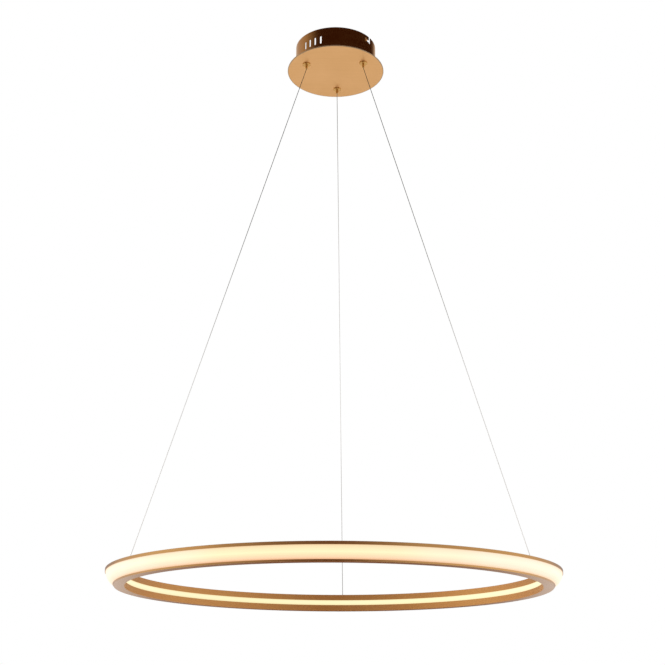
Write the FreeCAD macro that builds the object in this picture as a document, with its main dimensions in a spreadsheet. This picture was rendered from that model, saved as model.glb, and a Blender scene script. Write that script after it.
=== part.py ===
import FreeCAD, Part

import math
import operator
import os

import Sketcher

# A LED ring hung by three thin wires from a round canopy.
# +Z is up, -Y points at the viewer, and the origin is on the ceiling, above the canopy's middle.
# Lengths are in millimetres and angles in degrees, counted from +X towards +Y.

DRIVING = {
    # the lit ring: an upright lip, and below it an outer face that slants inwards on its way down
    "ring_outer_dia": 800, "ring_lean": 16, "ring_base_width": 18.5,
    "ring_outer_height": 27, "ring_upstand": 5, "ring_wall": 2,
    "upper_lip": 5, "lower_lip": 2.6, "lip_thick": 1.2, "foot_lip_thick": 1.4,
    "stripe_from_top": 10.9, "stripe_height": 9.8,
    "web_thick": 1.2, "web_setback": 4.9,
    "support_fin": 1.4, "support_fin_thick": 1, "support_fin_setback": 4,
    "diffuser_thick": 1.8, "diffuser_bulge": 3.4, "foot_tuck": 0.4,
    "stripe_diffuser_thick": 1.6, "stripe_flange": 1.8, "stripe_flange_thick": 1.2,
    "tape_thick": 0.3, "tape_height": 10,
    "chip_width": 3.5, "chip_height": 2.8, "chip_thick": 0.8, "outer_chips": 108, "inner_chips": 90,
    # the three wires
    "suspension_drop": 1022, "triad_turn": -2.9, "wire_dia": 1.2,
    "grip_setback": 14.4, "anchor_setback": 22.8,
    # the canopy
    "ceiling_gap": 0.5, "drum_dia": 164, "drum_height": 52, "drum_wall": 1,
    "plate_overhang": 16.5, "plate_thick": 2, "plate_edge_round": 0.6,
    "drum_tab_depth": 12, "drum_tab_width": 14,
    "slot_count": 4, "slot_width": 3.6, "slot_height": 17, "slot_pitch_angle": 8.8,
    "slot_middle_angle": -124.85,
    "notch_width": 5, "notch_depth": 15, "notch_leg_depth": 10.5,
    "notch_angle": -33, "twist_angle": 8.6,
    # the ceiling bracket
    "strip_thick": 1.5, "strip_width": 20, "strip_end_width": 12, "strip_end_taper": 10,
    "tab_drop": 17, "cable_hole_dia": 10.2, "fixing_hole_dia": 4.5, "fixing_circle_dia": 70,
    "screw_reach": 2,
    # the wire grippers
    "grip_flange_dia": 16, "grip_flange_thick": 2.2, "grip_flange_chamfer": 0.8,
    "grip_barrel_dia": 10, "grip_barrel_height": 20, "grip_wall": 1.7, "grip_roof": 2,
    "grip_chamber_rise": 3, "grip_chamber_spare": 0.5, "grip_throat": 0.5, "grip_cone_height": 4.5,
    "nozzle_dia": 4.8, "nozzle_length": 8.5, "nozzle_chamfer": 0.6, "plunger_travel": 2,
    "shoulder_dia": 5.8, "shoulder_thick": 1.5,
    "nose_dia": 3.8, "ball_dia": 2.2, "spring_wire_dia": 0.4, "spring_turns": 3.5,
    "grip_nut_flats": 14, "grip_nut_thick": 4,
    # the ring's wire anchors
    "bush_flange_dia": 9, "bush_flange_thick": 1.5, "bush_barrel_dia": 6, "bush_barrel_length": 7,
    "bush_flange_chamfer": 0.5,
    "bush_nut_flats": 9, "bush_nut_thick": 3, "crimp_dia": 4.5, "crimp_length": 5,
    "tag_thick": 0.5, "tag_eye_dia": 10.6, "tag_strip_width": 4, "tag_leg_lap": 2, "earth_eye_dia": 9.8,
    # fasteners inside the canopy
    "stud_dia": 4, "stud_length": 7, "nut_flats": 7, "nut_thick": 3.2,
    "screw_head_dia": 7, "screw_head_thick": 2.2,
    # the driver and the terminal block
    "driver_length": 96, "driver_width": 36, "driver_height": 14, "driver_wall": 1.6, "driver_y": -4,
    "ear_length": 8, "ear_thick": 2, "lid_thick": 1.8, "lid_lip": 2,
    "board_thick": 1.6, "board_rise": 3, "ledge_width": 2.2,
    "block_length": 38, "block_width": 16, "block_height": 14, "block_x": 20, "block_y": 36,
    "pole_pitch": 9, "pole_hole_dia": 3.2, "pole_screw_dia": 3.6, "pole_screw_sunk": 1,
    "drive_slot_width": 0.6, "drive_slot_depth": 0.8,
    # the leads, with how far each route stands off what it goes round
    "lead_dia": 2.2, "lead_bend": 3.5, "lead_height": 8, "tail_height": 29, "tail_bend": 5,
    "entry_spread": 5, "live_lane_y": 21, "neutral_lane_y": 17.5,
    "live_lane_out": 14, "neutral_lane_out": 9,
    "earth_lane_out": 7, "earth_drop_in": 8, "earth_lap": 2,
    "output_lane_out": 5, "output_entry_out": 4, "output_turn_out": 6, "output_drop_in": 8,
    "right_tail_angle": 157.5,
    "splice_dia": 4.8, "splice_length": 10, "splice_offset": 8,
    # clearances, and how far a cutter passes what it cuts
    "fit_gap": 0.1, "slide_gap": 0.05, "seat_gap": 0.3, "bracket_gap": 0.7, "overcut": 1, "wall_overcut": 4,
}

doc = FreeCAD.newDocument("led_ring_chandelier")
dims_sheet = doc.addObject("Spreadsheet::Sheet", "Dims")
worked_sheet = doc.addObject("Spreadsheet::Sheet", "Worked")

OPERATIONS = {"+": operator.add, "-": operator.sub, "*": operator.mul, "/": operator.truediv}


class Size:
    """A size: its formula over the sheets, and its value as the sheets stand."""

    def __init__(self, formula, value):
        self.formula = formula
        self.value = value

    def __add__(self, other):
        return combine(self, "+", other)

    def __radd__(self, other):
        return combine(other, "+", self)

    def __sub__(self, other):
        return combine(self, "-", other)

    def __rsub__(self, other):
        return combine(other, "-", self)

    def __mul__(self, other):
        return combine(self, "*", other)

    def __rmul__(self, other):
        return combine(other, "*", self)

    def __truediv__(self, other):
        return combine(self, "/", other)

    def __neg__(self):
        return combine(0, "-", self)


def as_size(thing):
    return thing if isinstance(thing, Size) else Size(repr(float(thing)), float(thing))


def combine(left, sign, right):
    left = as_size(left)
    right = as_size(right)
    formula = "(%s %s %s)" % (left.formula, sign, right.formula)
    return Size(formula, OPERATIONS[sign](left.value, right.value))


def cosine(angle):
    angle = as_size(angle)
    return Size("cos(%s * 1 deg)" % angle.formula, math.cos(math.radians(angle.value)))


def sine(angle):
    angle = as_size(angle)
    return Size("sin(%s * 1 deg)" % angle.formula, math.sin(math.radians(angle.value)))


def length_of(*sides):
    squares = sum(side * side for side in sides)
    return Size("sqrt(%s)" % squares.formula, math.sqrt(squares.value))


def cap_radius(half_chord, rise):
    """The radius of the arc that rises so far over a chord."""
    return (half_chord * half_chord + rise * rise) / (2 * rise)


class Cells:
    """The named sizes of one sheet, each read as an attribute."""

    def __init__(self, sheet):
        self.sheet = sheet
        self.rows = 0

    def add(self, name, content, value):
        self.rows += 1
        cell = "B%d" % self.rows
        self.sheet.set("A%d" % self.rows, name)
        self.sheet.set(cell, content)
        self.sheet.setAlias(cell, name)
        setattr(self, name, Size("%s.%s" % (self.sheet.Name, name), value))


d = Cells(dims_sheet)
for name, number in DRIVING.items():
    d.add(name, str(number), float(number))
doc.recompute()

w = Cells(worked_sheet)


def work_out(name, size):
    w.add(name, "=" + size.formula, size.value)


def polar(radius, angle):
    return radius * cosine(angle), radius * sine(angle)


# heights, from the ceiling down
work_out("rim_z", -d.ceiling_gap)
work_out("plate_top_z", w.rim_z - d.drum_height)
work_out("plate_bottom_z", w.plate_top_z - d.plate_thick)
work_out("nozzle_tip_z", w.plate_bottom_z - d.grip_flange_thick - d.nozzle_length)
work_out("ring_z", w.plate_bottom_z - d.suspension_drop)
work_out("foot_top_z", w.ring_z + d.bush_flange_thick + d.seat_gap)
work_out("screw_z", w.rim_z - d.notch_leg_depth)
work_out("lead_z", w.plate_top_z + d.lead_height)
work_out("tail_z", w.plate_top_z + d.tail_height)
# radii
work_out("ring_r", d.ring_outer_dia / 2)
work_out("ring_bottom_r", w.ring_r - d.ring_lean)
work_out("ring_inner_r", w.ring_bottom_r - d.ring_base_width)
work_out("inner_wall_back_r", w.ring_inner_r + d.ring_wall)
work_out("web_inner_r", w.ring_inner_r + d.web_setback)
work_out("web_outer_r", w.web_inner_r + d.web_thick)
work_out("drum_r", d.drum_dia / 2)
work_out("drum_inner_r", w.drum_r - d.drum_wall)
work_out("plate_r", w.drum_r + d.plate_overhang)
work_out("grip_r", w.drum_inner_r - d.grip_setback)
work_out("anchor_r", w.ring_r - d.anchor_setback)
work_out("wire_r", d.wire_dia / 2)
work_out("stud_ring_r", w.drum_inner_r - d.drum_tab_depth / 2)
# the slant of the ring's outer face, from the upright lip's foot to the bottom rim
work_out("slant_drop", d.ring_outer_height - d.upper_lip)
work_out("slant_length", length_of(d.ring_lean, w.slant_drop))
work_out("slant_in", d.ring_lean / w.slant_length)
work_out("slant_down", w.slant_drop / w.slant_length)
# angles
work_out("screw_angle", d.notch_angle - d.twist_angle)
doc.recompute()

SIDES = {"left": 210, "right": 330, "far": 90}
EARTH_TAB = 1  # the drum's tab that takes the earth lead's eye
POLES = 3      # the terminal block's poles; a fourth place takes its fixing stud


def side_angle(side):
    return SIDES[side] + d.triad_turn


# ---- helpers that make one object each ----

def bind(item, prop, size):
    item.setExpression(prop, as_size(size).formula)


def place(item, x=0, y=0, z=0, rotation=None):
    if rotation is not None:
        item.Placement = FreeCAD.Placement(FreeCAD.Vector(0, 0, 0), rotation)
    for axis, size in (("x", x), ("y", y), ("z", z)):
        bind(item, "Placement.Base." + axis, size)
    return item


def about_z(angle):
    return FreeCAD.Rotation(FreeCAD.Vector(0, 0, 1), as_size(angle).value)


def facing_out(angle):
    turn = math.radians(as_size(angle).value)
    return FreeCAD.Rotation(FreeCAD.Vector(0, 0, 1), FreeCAD.Vector(math.cos(turn), math.sin(turn), 0))


def cylinder(name, radius, height, x=0, y=0, z=0, rotation=None):
    item = doc.addObject("Part::Cylinder", name)
    bind(item, "Radius", radius)
    bind(item, "Height", height)
    return place(item, x, y, z, rotation)


def box(name, size, corner, rotation=None):
    item = doc.addObject("Part::Box", name)
    for prop, length in zip(("Length", "Width", "Height"), size):
        bind(item, prop, length)
    return place(item, *corner, rotation)


def centred_box(name, size, middle, bottom):
    corner = (middle[0] - size[0] / 2, middle[1] - size[1] / 2, bottom)
    return box(name, size, corner)


def radial_box(name, inner, outer, width, bottom, height, angle):
    """A box along a radius, from one radius to another."""
    x, y = polar(inner, angle)
    corner = (x + width / 2 * sine(angle), y - width / 2 * cosine(angle), bottom)
    return box(name, (outer - inner, width, height), corner, about_z(angle))


def radial_cylinder(name, radius, inner, outer, z, angle):
    x, y = polar(inner, angle)
    return cylinder(name, radius, outer - inner, x, y, z, facing_out(angle))


def hexagon(name, flats, height, x, y, z):
    item = doc.addObject("Part::Prism", name)
    item.Polygon = 6
    bind(item, "Circumradius", flats / 2 / cosine(30))
    bind(item, "Height", height)
    return place(item, x, y, z)


def fused(name, items):
    if len(items) == 1:
        return items[0]
    item = doc.addObject("Part::MultiFuse", name)
    item.Shapes = items
    item.Refine = True
    return item


def grouped(name, items):
    item = doc.addObject("Part::Compound", name)
    item.Links = items
    return item


def cut(name, base, tools):
    item = doc.addObject("Part::Cut", name)
    item.Base = base
    item.Tool = fused(name + "_tools", tools)
    return item


def new_body(name):
    return doc.addObject("PartDesign::Body", name)


def origin_part(body, role):
    return [part for part in body.Origin.OriginFeatures if part.Role == role][0]


def new_sketch(body, name, role):
    sketch = body.newObject("Sketcher::SketchObject", name)
    sketch.AttachmentSupport = (origin_part(body, role), "")
    sketch.MapMode = "FlatFace"
    return sketch


def pin_point(sketch, edge, end, point):
    for kind, size in zip(("DistanceX", "DistanceY"), point):
        size = as_size(size)
        number = sketch.addConstraint(Sketcher.Constraint(kind, edge, end, size.value))
        sketch.setExpression("Constraints[%d]" % number, size.formula)


def sketch_vector(point):
    return FreeCAD.Vector(as_size(point[0]).value, as_size(point[1]).value, 0)


def arc_middle(start, stop, radius, side):
    """The middle of the shorter arc between two points, to the left (1) or the right (-1) of the way."""
    way = stop - start
    rise = radius - math.sqrt(radius ** 2 - (way.Length / 2) ** 2)
    left = FreeCAD.Vector(-way.y, way.x, 0).normalize()
    return (start + stop) * 0.5 + left * rise * side


def draw_outline(sketch, points, arcs=None):
    """Closes the points with lines, or with an arc from point i where arcs holds i: (radius, side)."""
    arcs = arcs or {}
    ends = []
    for index, point in enumerate(points):
        start = sketch_vector(point)
        stop = sketch_vector(points[(index + 1) % len(points)])
        if index not in arcs:
            edge = sketch.addGeometry(Part.LineSegment(start, stop), False)
            ends.append((edge, 1, 2))
            continue
        radius = as_size(arcs[index][0])
        side = arcs[index][1]
        middle = arc_middle(start, stop, radius.value, side)
        first, last = (stop, start) if side > 0 else (start, stop)
        edge = sketch.addGeometry(Part.Arc(first, middle, last), False)
        ends.append((edge, 2, 1) if side > 0 else (edge, 1, 2))
        number = sketch.addConstraint(Sketcher.Constraint("Radius", edge, radius.value))
        sketch.setExpression("Constraints[%d]" % number, radius.formula)
    for index, (edge, first, last) in enumerate(ends):
        follower, follower_first, _ = ends[(index + 1) % len(ends)]
        sketch.addConstraint(Sketcher.Constraint("Coincident", edge, last, follower, follower_first))
        pin_point(sketch, edge, first, points[index])


def draw_circle(sketch, centre, radius):
    radius = as_size(radius)
    circle = Part.Circle(sketch_vector(centre), FreeCAD.Vector(0, 0, 1), radius.value)
    edge = sketch.addGeometry(circle, False)
    number = sketch.addConstraint(Sketcher.Constraint("Radius", edge, radius.value))
    sketch.setExpression("Constraints[%d]" % number, radius.formula)
    pin_point(sketch, edge, 3, centre)


def turned(name, points, arcs=None):
    """A body spun round its own Z axis from an outline of (radius, height) points."""
    body = new_body(name)
    sketch = new_sketch(body, name + "_section", "XZ_Plane")
    draw_outline(sketch, points, arcs)
    spin = body.newObject("PartDesign::Revolution", name + "_spin")
    spin.Profile = sketch
    spin.ReferenceAxis = (sketch, ["V_Axis"])
    spin.Angle = 360
    return body


def padded_down(body, name, outlines, depth):
    sketch = new_sketch(body, name + "_sketch", "XY_Plane")
    for outline in outlines:
        draw_outline(sketch, outline)
    pad = body.newObject("PartDesign::Pad", name + "_pad")
    pad.Profile = sketch
    pad.Reversed = True
    bind(pad, "Length", depth)
    return pad


def bored_down(body, name, circles, depth):
    """Round holes cut downwards from the body's own z = 0."""
    sketch = new_sketch(body, name + "_sketch", "XY_Plane")
    for centre, radius in circles:
        draw_circle(sketch, centre, radius)
    pocket = body.newObject("PartDesign::Pocket", name + "_pocket")
    pocket.Profile = sketch
    bind(pocket, "Length", depth)
    return pocket


def repeated_round(body, name, feature, count):
    pattern = body.newObject("PartDesign::PolarPattern", name + "_pattern")
    pattern.Originals = [feature]
    pattern.Axis = (origin_part(body, "Z_Axis"), [""])
    pattern.Angle = 360
    pattern.Occurrences = count
    body.Tip = pattern
    return pattern


def solid_of(name, shape):
    item = doc.addObject("Part::Feature", name)
    item.Shape = shape
    return item


def vector_of(point):
    return FreeCAD.Vector(*[as_size(part).value for part in point])


def corner_arc(before, corner, after, radius):
    """The tangent points and middle of the arc that rounds one corner of a route."""
    inward = (before - corner).normalize()
    outward = (after - corner).normalize()
    half_angle = inward.getAngle(outward) / 2
    reach = radius / math.tan(half_angle)
    bisector = (inward + outward).normalize()
    middle = corner + bisector * (radius / math.sin(half_angle) - radius)
    return corner + inward * reach, middle, corner + outward * reach


def tube(name, points, radius, bend):
    """A round tube along straight runs joined by tangent arcs."""
    corners = [vector_of(point) for point in points]
    radius = as_size(radius).value
    bend = as_size(bend).value
    edges = []
    at = corners[0]
    for before, corner, after in zip(corners, corners[1:], corners[2:]):
        start, middle, stop = corner_arc(before, corner, after, bend)
        edges.append(Part.LineSegment(at, start).toShape())
        edges.append(Part.Arc(start, middle, stop).toShape())
        at = stop
    edges.append(Part.LineSegment(at, corners[-1]).toShape())
    route = Part.Wire(edges)
    circle = Part.Circle(corners[0], corners[1] - corners[0], radius)
    shape = route.makePipeShell([Part.Wire([circle.toShape()])], True, False)
    expected = math.pi * radius ** 2 * route.Length
    print("%s: length %.1f, bends %.1f, volume %.4f of its section times its length"
          % (name, route.Length, bend, shape.Volume / expected))
    return solid_of(name, shape)


# ---- the ceiling bracket ----

def make_ceiling_bracket():
    """A pressed strip with narrowed ends, bent down as two tabs that take the side screws."""
    reach = w.drum_inner_r - d.bracket_gap
    half = d.strip_width / 2
    half_end = d.strip_end_width / 2
    taper_x = reach - d.strip_end_taper
    strip = [
        (-reach, -half_end), (-taper_x, -half), (taper_x, -half), (reach, -half_end),
        (reach, half_end), (taper_x, half), (-taper_x, half), (-reach, half_end),
    ]
    tabs = []
    for outer, inner in ((reach, reach - d.strip_thick), (-reach + d.strip_thick, -reach)):
        tabs.append([(inner, -half_end), (outer, -half_end), (outer, half_end), (inner, half_end)])
    body = new_body("bracket_pressing")
    padded_down(body, "strip", [strip], d.strip_thick)
    padded_down(body, "tabs", tabs, d.tab_drop)
    holes = [((0, 0), d.cable_hole_dia / 2)]
    for end in (-1, 1):
        holes.append(((end * d.fixing_circle_dia / 2, 0), d.fixing_hole_dia / 2))
    bored_down(body, "fixings", holes, d.strip_thick)
    place(body, 0, 0, 0, about_z(w.screw_angle))
    thread = radial_cylinder("bracket_threads", d.stud_dia / 2 + d.slide_gap, -reach - d.overcut,
                             reach + d.overcut, w.screw_z, w.screw_angle)
    return cut("ceiling_bracket", body, [thread])


def make_side_screws():
    """Two domed screws through the drum's notches into the bracket's tabs."""
    shank_r = d.stud_dia / 2
    head_r = d.screw_head_dia / 2
    head_start = w.drum_r + d.seat_gap
    shank_start = w.drum_inner_r - d.bracket_gap - d.strip_thick - d.screw_reach
    dome_r = cap_radius(head_r, d.screw_head_thick)
    outline = [
        (0, shank_start), (shank_r, shank_start), (shank_r, head_start), (head_r, head_start),
        (0, head_start + d.screw_head_thick),
    ]
    screws = []
    for number, angle in enumerate((w.screw_angle, w.screw_angle + 180)):
        screw = turned("side_screw_%d" % number, outline, {3: (dome_r, -1)})
        place(screw, 0, 0, w.screw_z, facing_out(angle))
        screws.append(screw)
    return grouped("side_screws", screws)


# ---- the canopy ----

def rounded_slot(name, angle, z, height):
    """A cutter for one upright slot with round ends through the drum's wall."""
    inner = w.drum_r - d.wall_overcut
    outer = w.drum_r + d.wall_overcut
    half = d.slot_width / 2
    rise = height / 2 - half
    parts = [radial_box(name, inner, outer, d.slot_width, z - rise, rise * 2, angle)]
    for end in (-1, 1):
        parts.append(radial_cylinder(name + "_end", half, inner, outer, z + end * rise, angle))
    return parts


def l_notch(name, angle):
    """A cutter for one L-shaped notch: down from the rim, then sideways to the screw's seat."""
    inner = w.drum_r - d.wall_overcut
    outer = w.drum_r + d.wall_overcut
    half = d.notch_width / 2
    seat = angle - d.twist_angle
    across = w.drum_r * 2 * sine(d.twist_angle / 2)
    floor = w.rim_z - d.notch_depth
    return [
        radial_box(name, inner, outer, d.notch_width, floor + half, d.notch_depth, angle),
        radial_cylinder(name + "_floor", half, inner, outer, floor + half, angle),
        radial_box(name + "_leg", inner, outer, across, w.screw_z - half, d.notch_width,
                   angle - d.twist_angle / 2),
        radial_cylinder(name + "_seat", half, inner, outer, w.screw_z, seat),
    ]


def drum_tab_angles():
    """The tabs sit half-way between the grippers."""
    return [side_angle(side) + 180 / len(SIDES) for side in SIDES]


def make_canopy_drum():
    """A rolled wall with three tabs turned in at its foot, vent slots and two L notches."""
    outer = cylinder("drum_outside", w.drum_r, d.drum_height, 0, 0, w.plate_top_z)
    inner = cylinder("drum_inside", w.drum_inner_r, d.drum_height, 0, 0, w.plate_top_z)
    parts = [cut("drum_wall_ring", outer, [inner])]
    cutters = []
    for number, angle in enumerate(drum_tab_angles()):
        parts.append(radial_box("drum_tab_%d" % number, w.drum_inner_r - d.drum_tab_depth,
                                w.drum_inner_r + d.drum_wall / 2, d.drum_tab_width,
                                w.plate_top_z, d.drum_wall, angle))
        x, y = polar(w.stud_ring_r, angle)
        cutters.append(cylinder("drum_tab_hole_%d" % number, d.stud_dia / 2 + d.seat_gap,
                                d.drum_wall * 3, x, y, w.plate_top_z - d.drum_wall))
    slot_z = w.plate_top_z + d.drum_height / 2
    slots = int(d.slot_count.value)
    for number in range(slots):
        angle = d.slot_middle_angle + (number - (slots - 1) / 2) * d.slot_pitch_angle
        cutters += rounded_slot("vent_%d" % number, angle, slot_z, d.slot_height)
    for number, angle in enumerate((d.notch_angle, d.notch_angle + 180)):
        cutters += l_notch("notch_%d" % number, angle)
    return cut("canopy_drum", fused("drum_blank", parts), cutters)


def make_canopy_plate():
    """The round cover plate with three gripper holes."""
    edge = d.plate_edge_round
    low = -d.plate_thick
    outline = [
        (0, 0), (w.plate_r - edge, 0), (w.plate_r, -edge), (w.plate_r, low + edge),
        (w.plate_r - edge, low), (0, low),
    ]
    body = turned("canopy_plate", outline, {1: (edge, 1), 3: (edge, 1)})
    doc.recompute()
    circle = ((w.grip_r, 0), d.grip_barrel_dia / 2 + d.fit_gap)
    hole = bored_down(body, "grip_hole", [circle], d.plate_thick)
    repeated_round(body, "grip_holes", hole, len(SIDES))
    return place(body, 0, 0, w.plate_top_z, about_z(side_angle("far")))


def stud_places():
    """Where each weld stud stands, and how far above the plate its nut seats."""
    places = []
    for number, angle in enumerate(drum_tab_angles()):
        seat = d.drum_wall + d.tag_thick if number == EARTH_TAB else d.drum_wall
        places.append(polar(w.stud_ring_r, angle) + (seat,))
    ear_x = d.driver_length / 2 + d.ear_length / 2
    places.append((-ear_x, d.driver_y, d.ear_thick))
    places.append((ear_x, d.driver_y, d.ear_thick))
    return places


def make_plate_studs():
    studs = []
    for number, (x, y, _) in enumerate(stud_places()):
        studs.append(cylinder("stud_%d" % number, d.stud_dia / 2, d.stud_length, x, y, w.plate_top_z))
    x, y = block_mount()
    studs.append(cylinder("block_stud", d.stud_dia / 2, d.block_height + d.nut_thick, x, y, w.plate_top_z))
    return grouped("plate_studs", studs)


def make_stud_nuts():
    nuts = []
    seats = [(x, y, w.plate_top_z + seat) for x, y, seat in stud_places()]
    x, y = block_mount()
    seats.append((x, y, w.plate_top_z + d.block_height))
    for number, (x, y, z) in enumerate(seats):
        blank = hexagon("nut_blank_%d" % number, d.nut_flats, d.nut_thick, x, y, z)
        bore = cylinder("nut_bore_%d" % number, d.stud_dia / 2 + d.slide_gap, d.nut_thick, x, y, z)
        nuts.append(cut("nut_%d" % number, blank, [bore]))
    return grouped("stud_nuts", nuts)


# ---- the driver ----

def make_driver_case():
    """The driver's open tray, with two ledges for its board and an ear at each end."""
    middle = (as_size(0), d.driver_y)
    size = (d.driver_length, d.driver_width, d.driver_height)
    hollow = (size[0] - 2 * d.driver_wall, size[1] - 2 * d.driver_wall, size[2])
    floor = w.plate_top_z + d.driver_wall
    tray = cut("driver_tray", centred_box("driver_block", size, middle, w.plate_top_z),
               [centred_box("driver_hollow", hollow, middle, floor)])
    parts = [tray]
    for end in (-1, 1):
        ledge_y = d.driver_y + end * (hollow[1] / 2 - d.ledge_width / 2)
        parts.append(centred_box("driver_ledge", (hollow[0] + d.driver_wall, d.ledge_width, d.board_rise),
                                 (as_size(0), ledge_y), floor))
        ear_x = end * (d.driver_length / 2 + d.ear_length / 2)
        ear = (d.ear_length + d.driver_wall, d.driver_width / 2, d.ear_thick)
        parts.append(centred_box("driver_ear", ear, (ear_x, d.driver_y), w.plate_top_z))
    holes = []
    for x, y, _ in stud_places()[-2:]:
        holes.append(cylinder("ear_hole", d.stud_dia / 2 + d.fit_gap, d.ear_thick * 3, x, y,
                              w.plate_top_z - d.ear_thick))
    return cut("driver_case", fused("driver_blank", parts), holes)


def make_driver_lid():
    """A flat lid whose lip drops just inside the tray."""
    middle = (as_size(0), d.driver_y)
    top = w.plate_top_z + d.driver_height
    inset = 2 * d.driver_wall + 2 * d.fit_gap
    lip = (d.driver_length - inset, d.driver_width - inset)
    inside = (lip[0] - 2 * d.driver_wall, lip[1] - 2 * d.driver_wall, d.lid_lip)
    plate = centred_box("lid_plate", (d.driver_length, d.driver_width, d.lid_thick), middle, top)
    rim = cut("lid_rim", centred_box("lid_lip_block", lip + (d.lid_lip,), middle, top - d.lid_lip),
              [centred_box("lid_lip_hollow", inside, middle, top - d.lid_lip)])
    return fused("driver_lid", [plate, rim])


def board_top():
    return w.plate_top_z + d.driver_wall + d.board_rise + d.board_thick


def make_driver_board():
    inset = 2 * d.driver_wall + 2 * d.seat_gap
    size = (d.driver_length - inset, d.driver_width - inset, d.board_thick)
    return centred_box("driver_board", size, (as_size(0), d.driver_y), board_top() - d.board_thick)


# name, length, width, share of the tallest, place along the driver and aside from its middle
BLOCKS = (
    ("transformer", 20, 18, 1.0, 2, 0),
    ("choke", 12, 14, 0.9, 26, 0),
    ("rectifier", 8, 5, 0.5, 38, -7),
)
# name, radius, place along the driver
CAPACITORS = (("large_capacitor", 4.5, -18), ("small_capacitor", 4.5, -30))


def make_driver_components():
    """Transformer, choke and capacitors standing on the board, all under the lid's lip."""
    tallest = d.driver_height - d.driver_wall - d.board_rise - d.board_thick - d.lid_lip - d.seat_gap
    items = []
    for name, length, width, share, x, aside in BLOCKS:
        items.append(centred_box(name, (as_size(length), as_size(width), tallest * share),
                                 (as_size(x), d.driver_y + aside), board_top()))
    for name, radius, x in CAPACITORS:
        items.append(cylinder(name, radius, tallest, x, d.driver_y, board_top()))
    return grouped("driver_components", items)


# ---- the mains terminal block ----

def pole_x(number):
    """The middle of one of the block's places: the poles, and then the fixing stud."""
    return d.block_x + (number - POLES / 2) * d.pole_pitch


def block_mount():
    return pole_x(POLES), d.block_y


def make_terminal_block():
    size = (d.block_length, d.block_width, d.block_height)
    blank = centred_box("block_blank", size, (d.block_x, d.block_y), w.plate_top_z)
    cutters = []
    along_y = FreeCAD.Rotation(FreeCAD.Vector(0, 0, 1), FreeCAD.Vector(0, 1, 0))
    front_y = d.block_y - d.block_width / 2 - d.overcut
    for number in range(POLES):
        cutters.append(cylinder("pole_%d" % number, d.pole_hole_dia / 2, d.block_width + 2 * d.overcut,
                                pole_x(number), front_y, w.lead_z, along_y))
        cutters.append(cylinder("pole_well_%d" % number, d.pole_screw_dia / 2 + d.fit_gap, d.block_height,
                                pole_x(number), d.block_y, w.lead_z))
    x, y = block_mount()
    cutters.append(cylinder("block_fixing", d.stud_dia / 2 + d.fit_gap, d.block_height + 2 * d.overcut,
                            x, y, w.plate_top_z - d.overcut))
    return cut("terminal_block", blank, cutters)


def make_terminal_screws():
    screws = []
    bottom = w.lead_z + d.lead_dia / 2 + d.fit_gap
    top = w.plate_top_z + d.block_height - d.pole_screw_sunk
    for number in range(POLES):
        blank = cylinder("pole_screw_blank_%d" % number, d.pole_screw_dia / 2, top - bottom, pole_x(number),
                         d.block_y, bottom)
        drive = centred_box("pole_screw_drive_%d" % number,
                            (d.pole_screw_dia, d.drive_slot_width, d.drive_slot_depth + d.overcut),
                            (pole_x(number), d.block_y), top - d.drive_slot_depth)
        screws.append(cut("pole_screw_%d" % number, blank, [drive]))
    return grouped("terminal_screws", screws)


# ---- the leads ----

def make_mains_leads():
    """Live and neutral, from the block's poles round to the driver's right end."""
    block_face = d.block_y - d.block_width / 2
    depth = d.block_width / 2 + d.pole_screw_dia / 2
    driver_end = d.driver_length / 2 + d.slide_gap
    leads = []
    lanes = (
        ("live", pole_x(1), d.live_lane_y, d.live_lane_out, -d.entry_spread),
        ("neutral", pole_x(0), d.neutral_lane_y, d.neutral_lane_out, d.entry_spread),
    )
    for name, x, lane_y, lane_out, aside in lanes:
        entry_y = d.driver_y + aside
        side_x = d.driver_length / 2 + lane_out
        points = [
            (x, block_face + depth, w.lead_z), (x, lane_y, w.lead_z), (side_x, lane_y, w.lead_z),
            (side_x, entry_y, w.lead_z), (driver_end, entry_y, w.lead_z),
        ]
        leads.append(tube(name + "_lead", points, d.lead_dia / 2, d.lead_bend))
    return grouped("mains_leads", leads)


def make_earth_lead():
    """The earth lead, from the block's third pole to an eye tag under one of the drum's nuts."""
    angle = drum_tab_angles()[EARTH_TAB]
    x, y = polar(w.stud_ring_r, angle)
    tag_z = w.plate_top_z + d.drum_wall
    eye = cylinder("earth_eye", d.earth_eye_dia / 2, d.tag_thick, x, y, tag_z)
    ferrule_x, ferrule_y = polar(w.stud_ring_r - d.drum_tab_depth, angle)
    tail = radial_box("earth_tail", w.stud_ring_r - d.drum_tab_depth, w.stud_ring_r, d.lead_dia,
                      tag_z, d.tag_thick, angle)
    bore = cylinder("earth_bore", d.stud_dia / 2 + d.fit_gap, d.tag_thick, x, y, tag_z)
    tag = cut("earth_tag", fused("earth_tag_blank", [eye, tail]), [bore])
    start_x = pole_x(2)
    lane_y = d.block_y + d.block_width / 2 + d.earth_lane_out
    drop_x = ferrule_x - d.earth_drop_in
    low_z = tag_z + d.tag_thick + d.lead_dia / 2
    points = [
        (start_x, d.block_y + d.pole_screw_dia / 2, w.lead_z),
        (start_x, lane_y, w.lead_z), (drop_x, lane_y, w.lead_z),
        (drop_x, ferrule_y, low_z), (ferrule_x + d.earth_lap, ferrule_y, low_z),
    ]
    return grouped("earth_lead", [tag, tube("earth_tube", points, d.lead_dia / 2, d.lead_bend)])


def tail_direction(side):
    """The way a live wire turns off above its gripper, towards the driver's end."""
    angle = as_size(90) if side == "left" else d.right_tail_angle
    return cosine(angle), sine(angle)


def along_tail(side, distance):
    x, y = polar(w.grip_r, side_angle(side))
    dx, dy = tail_direction(side)
    return x + dx * distance, y + dy * distance


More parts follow.
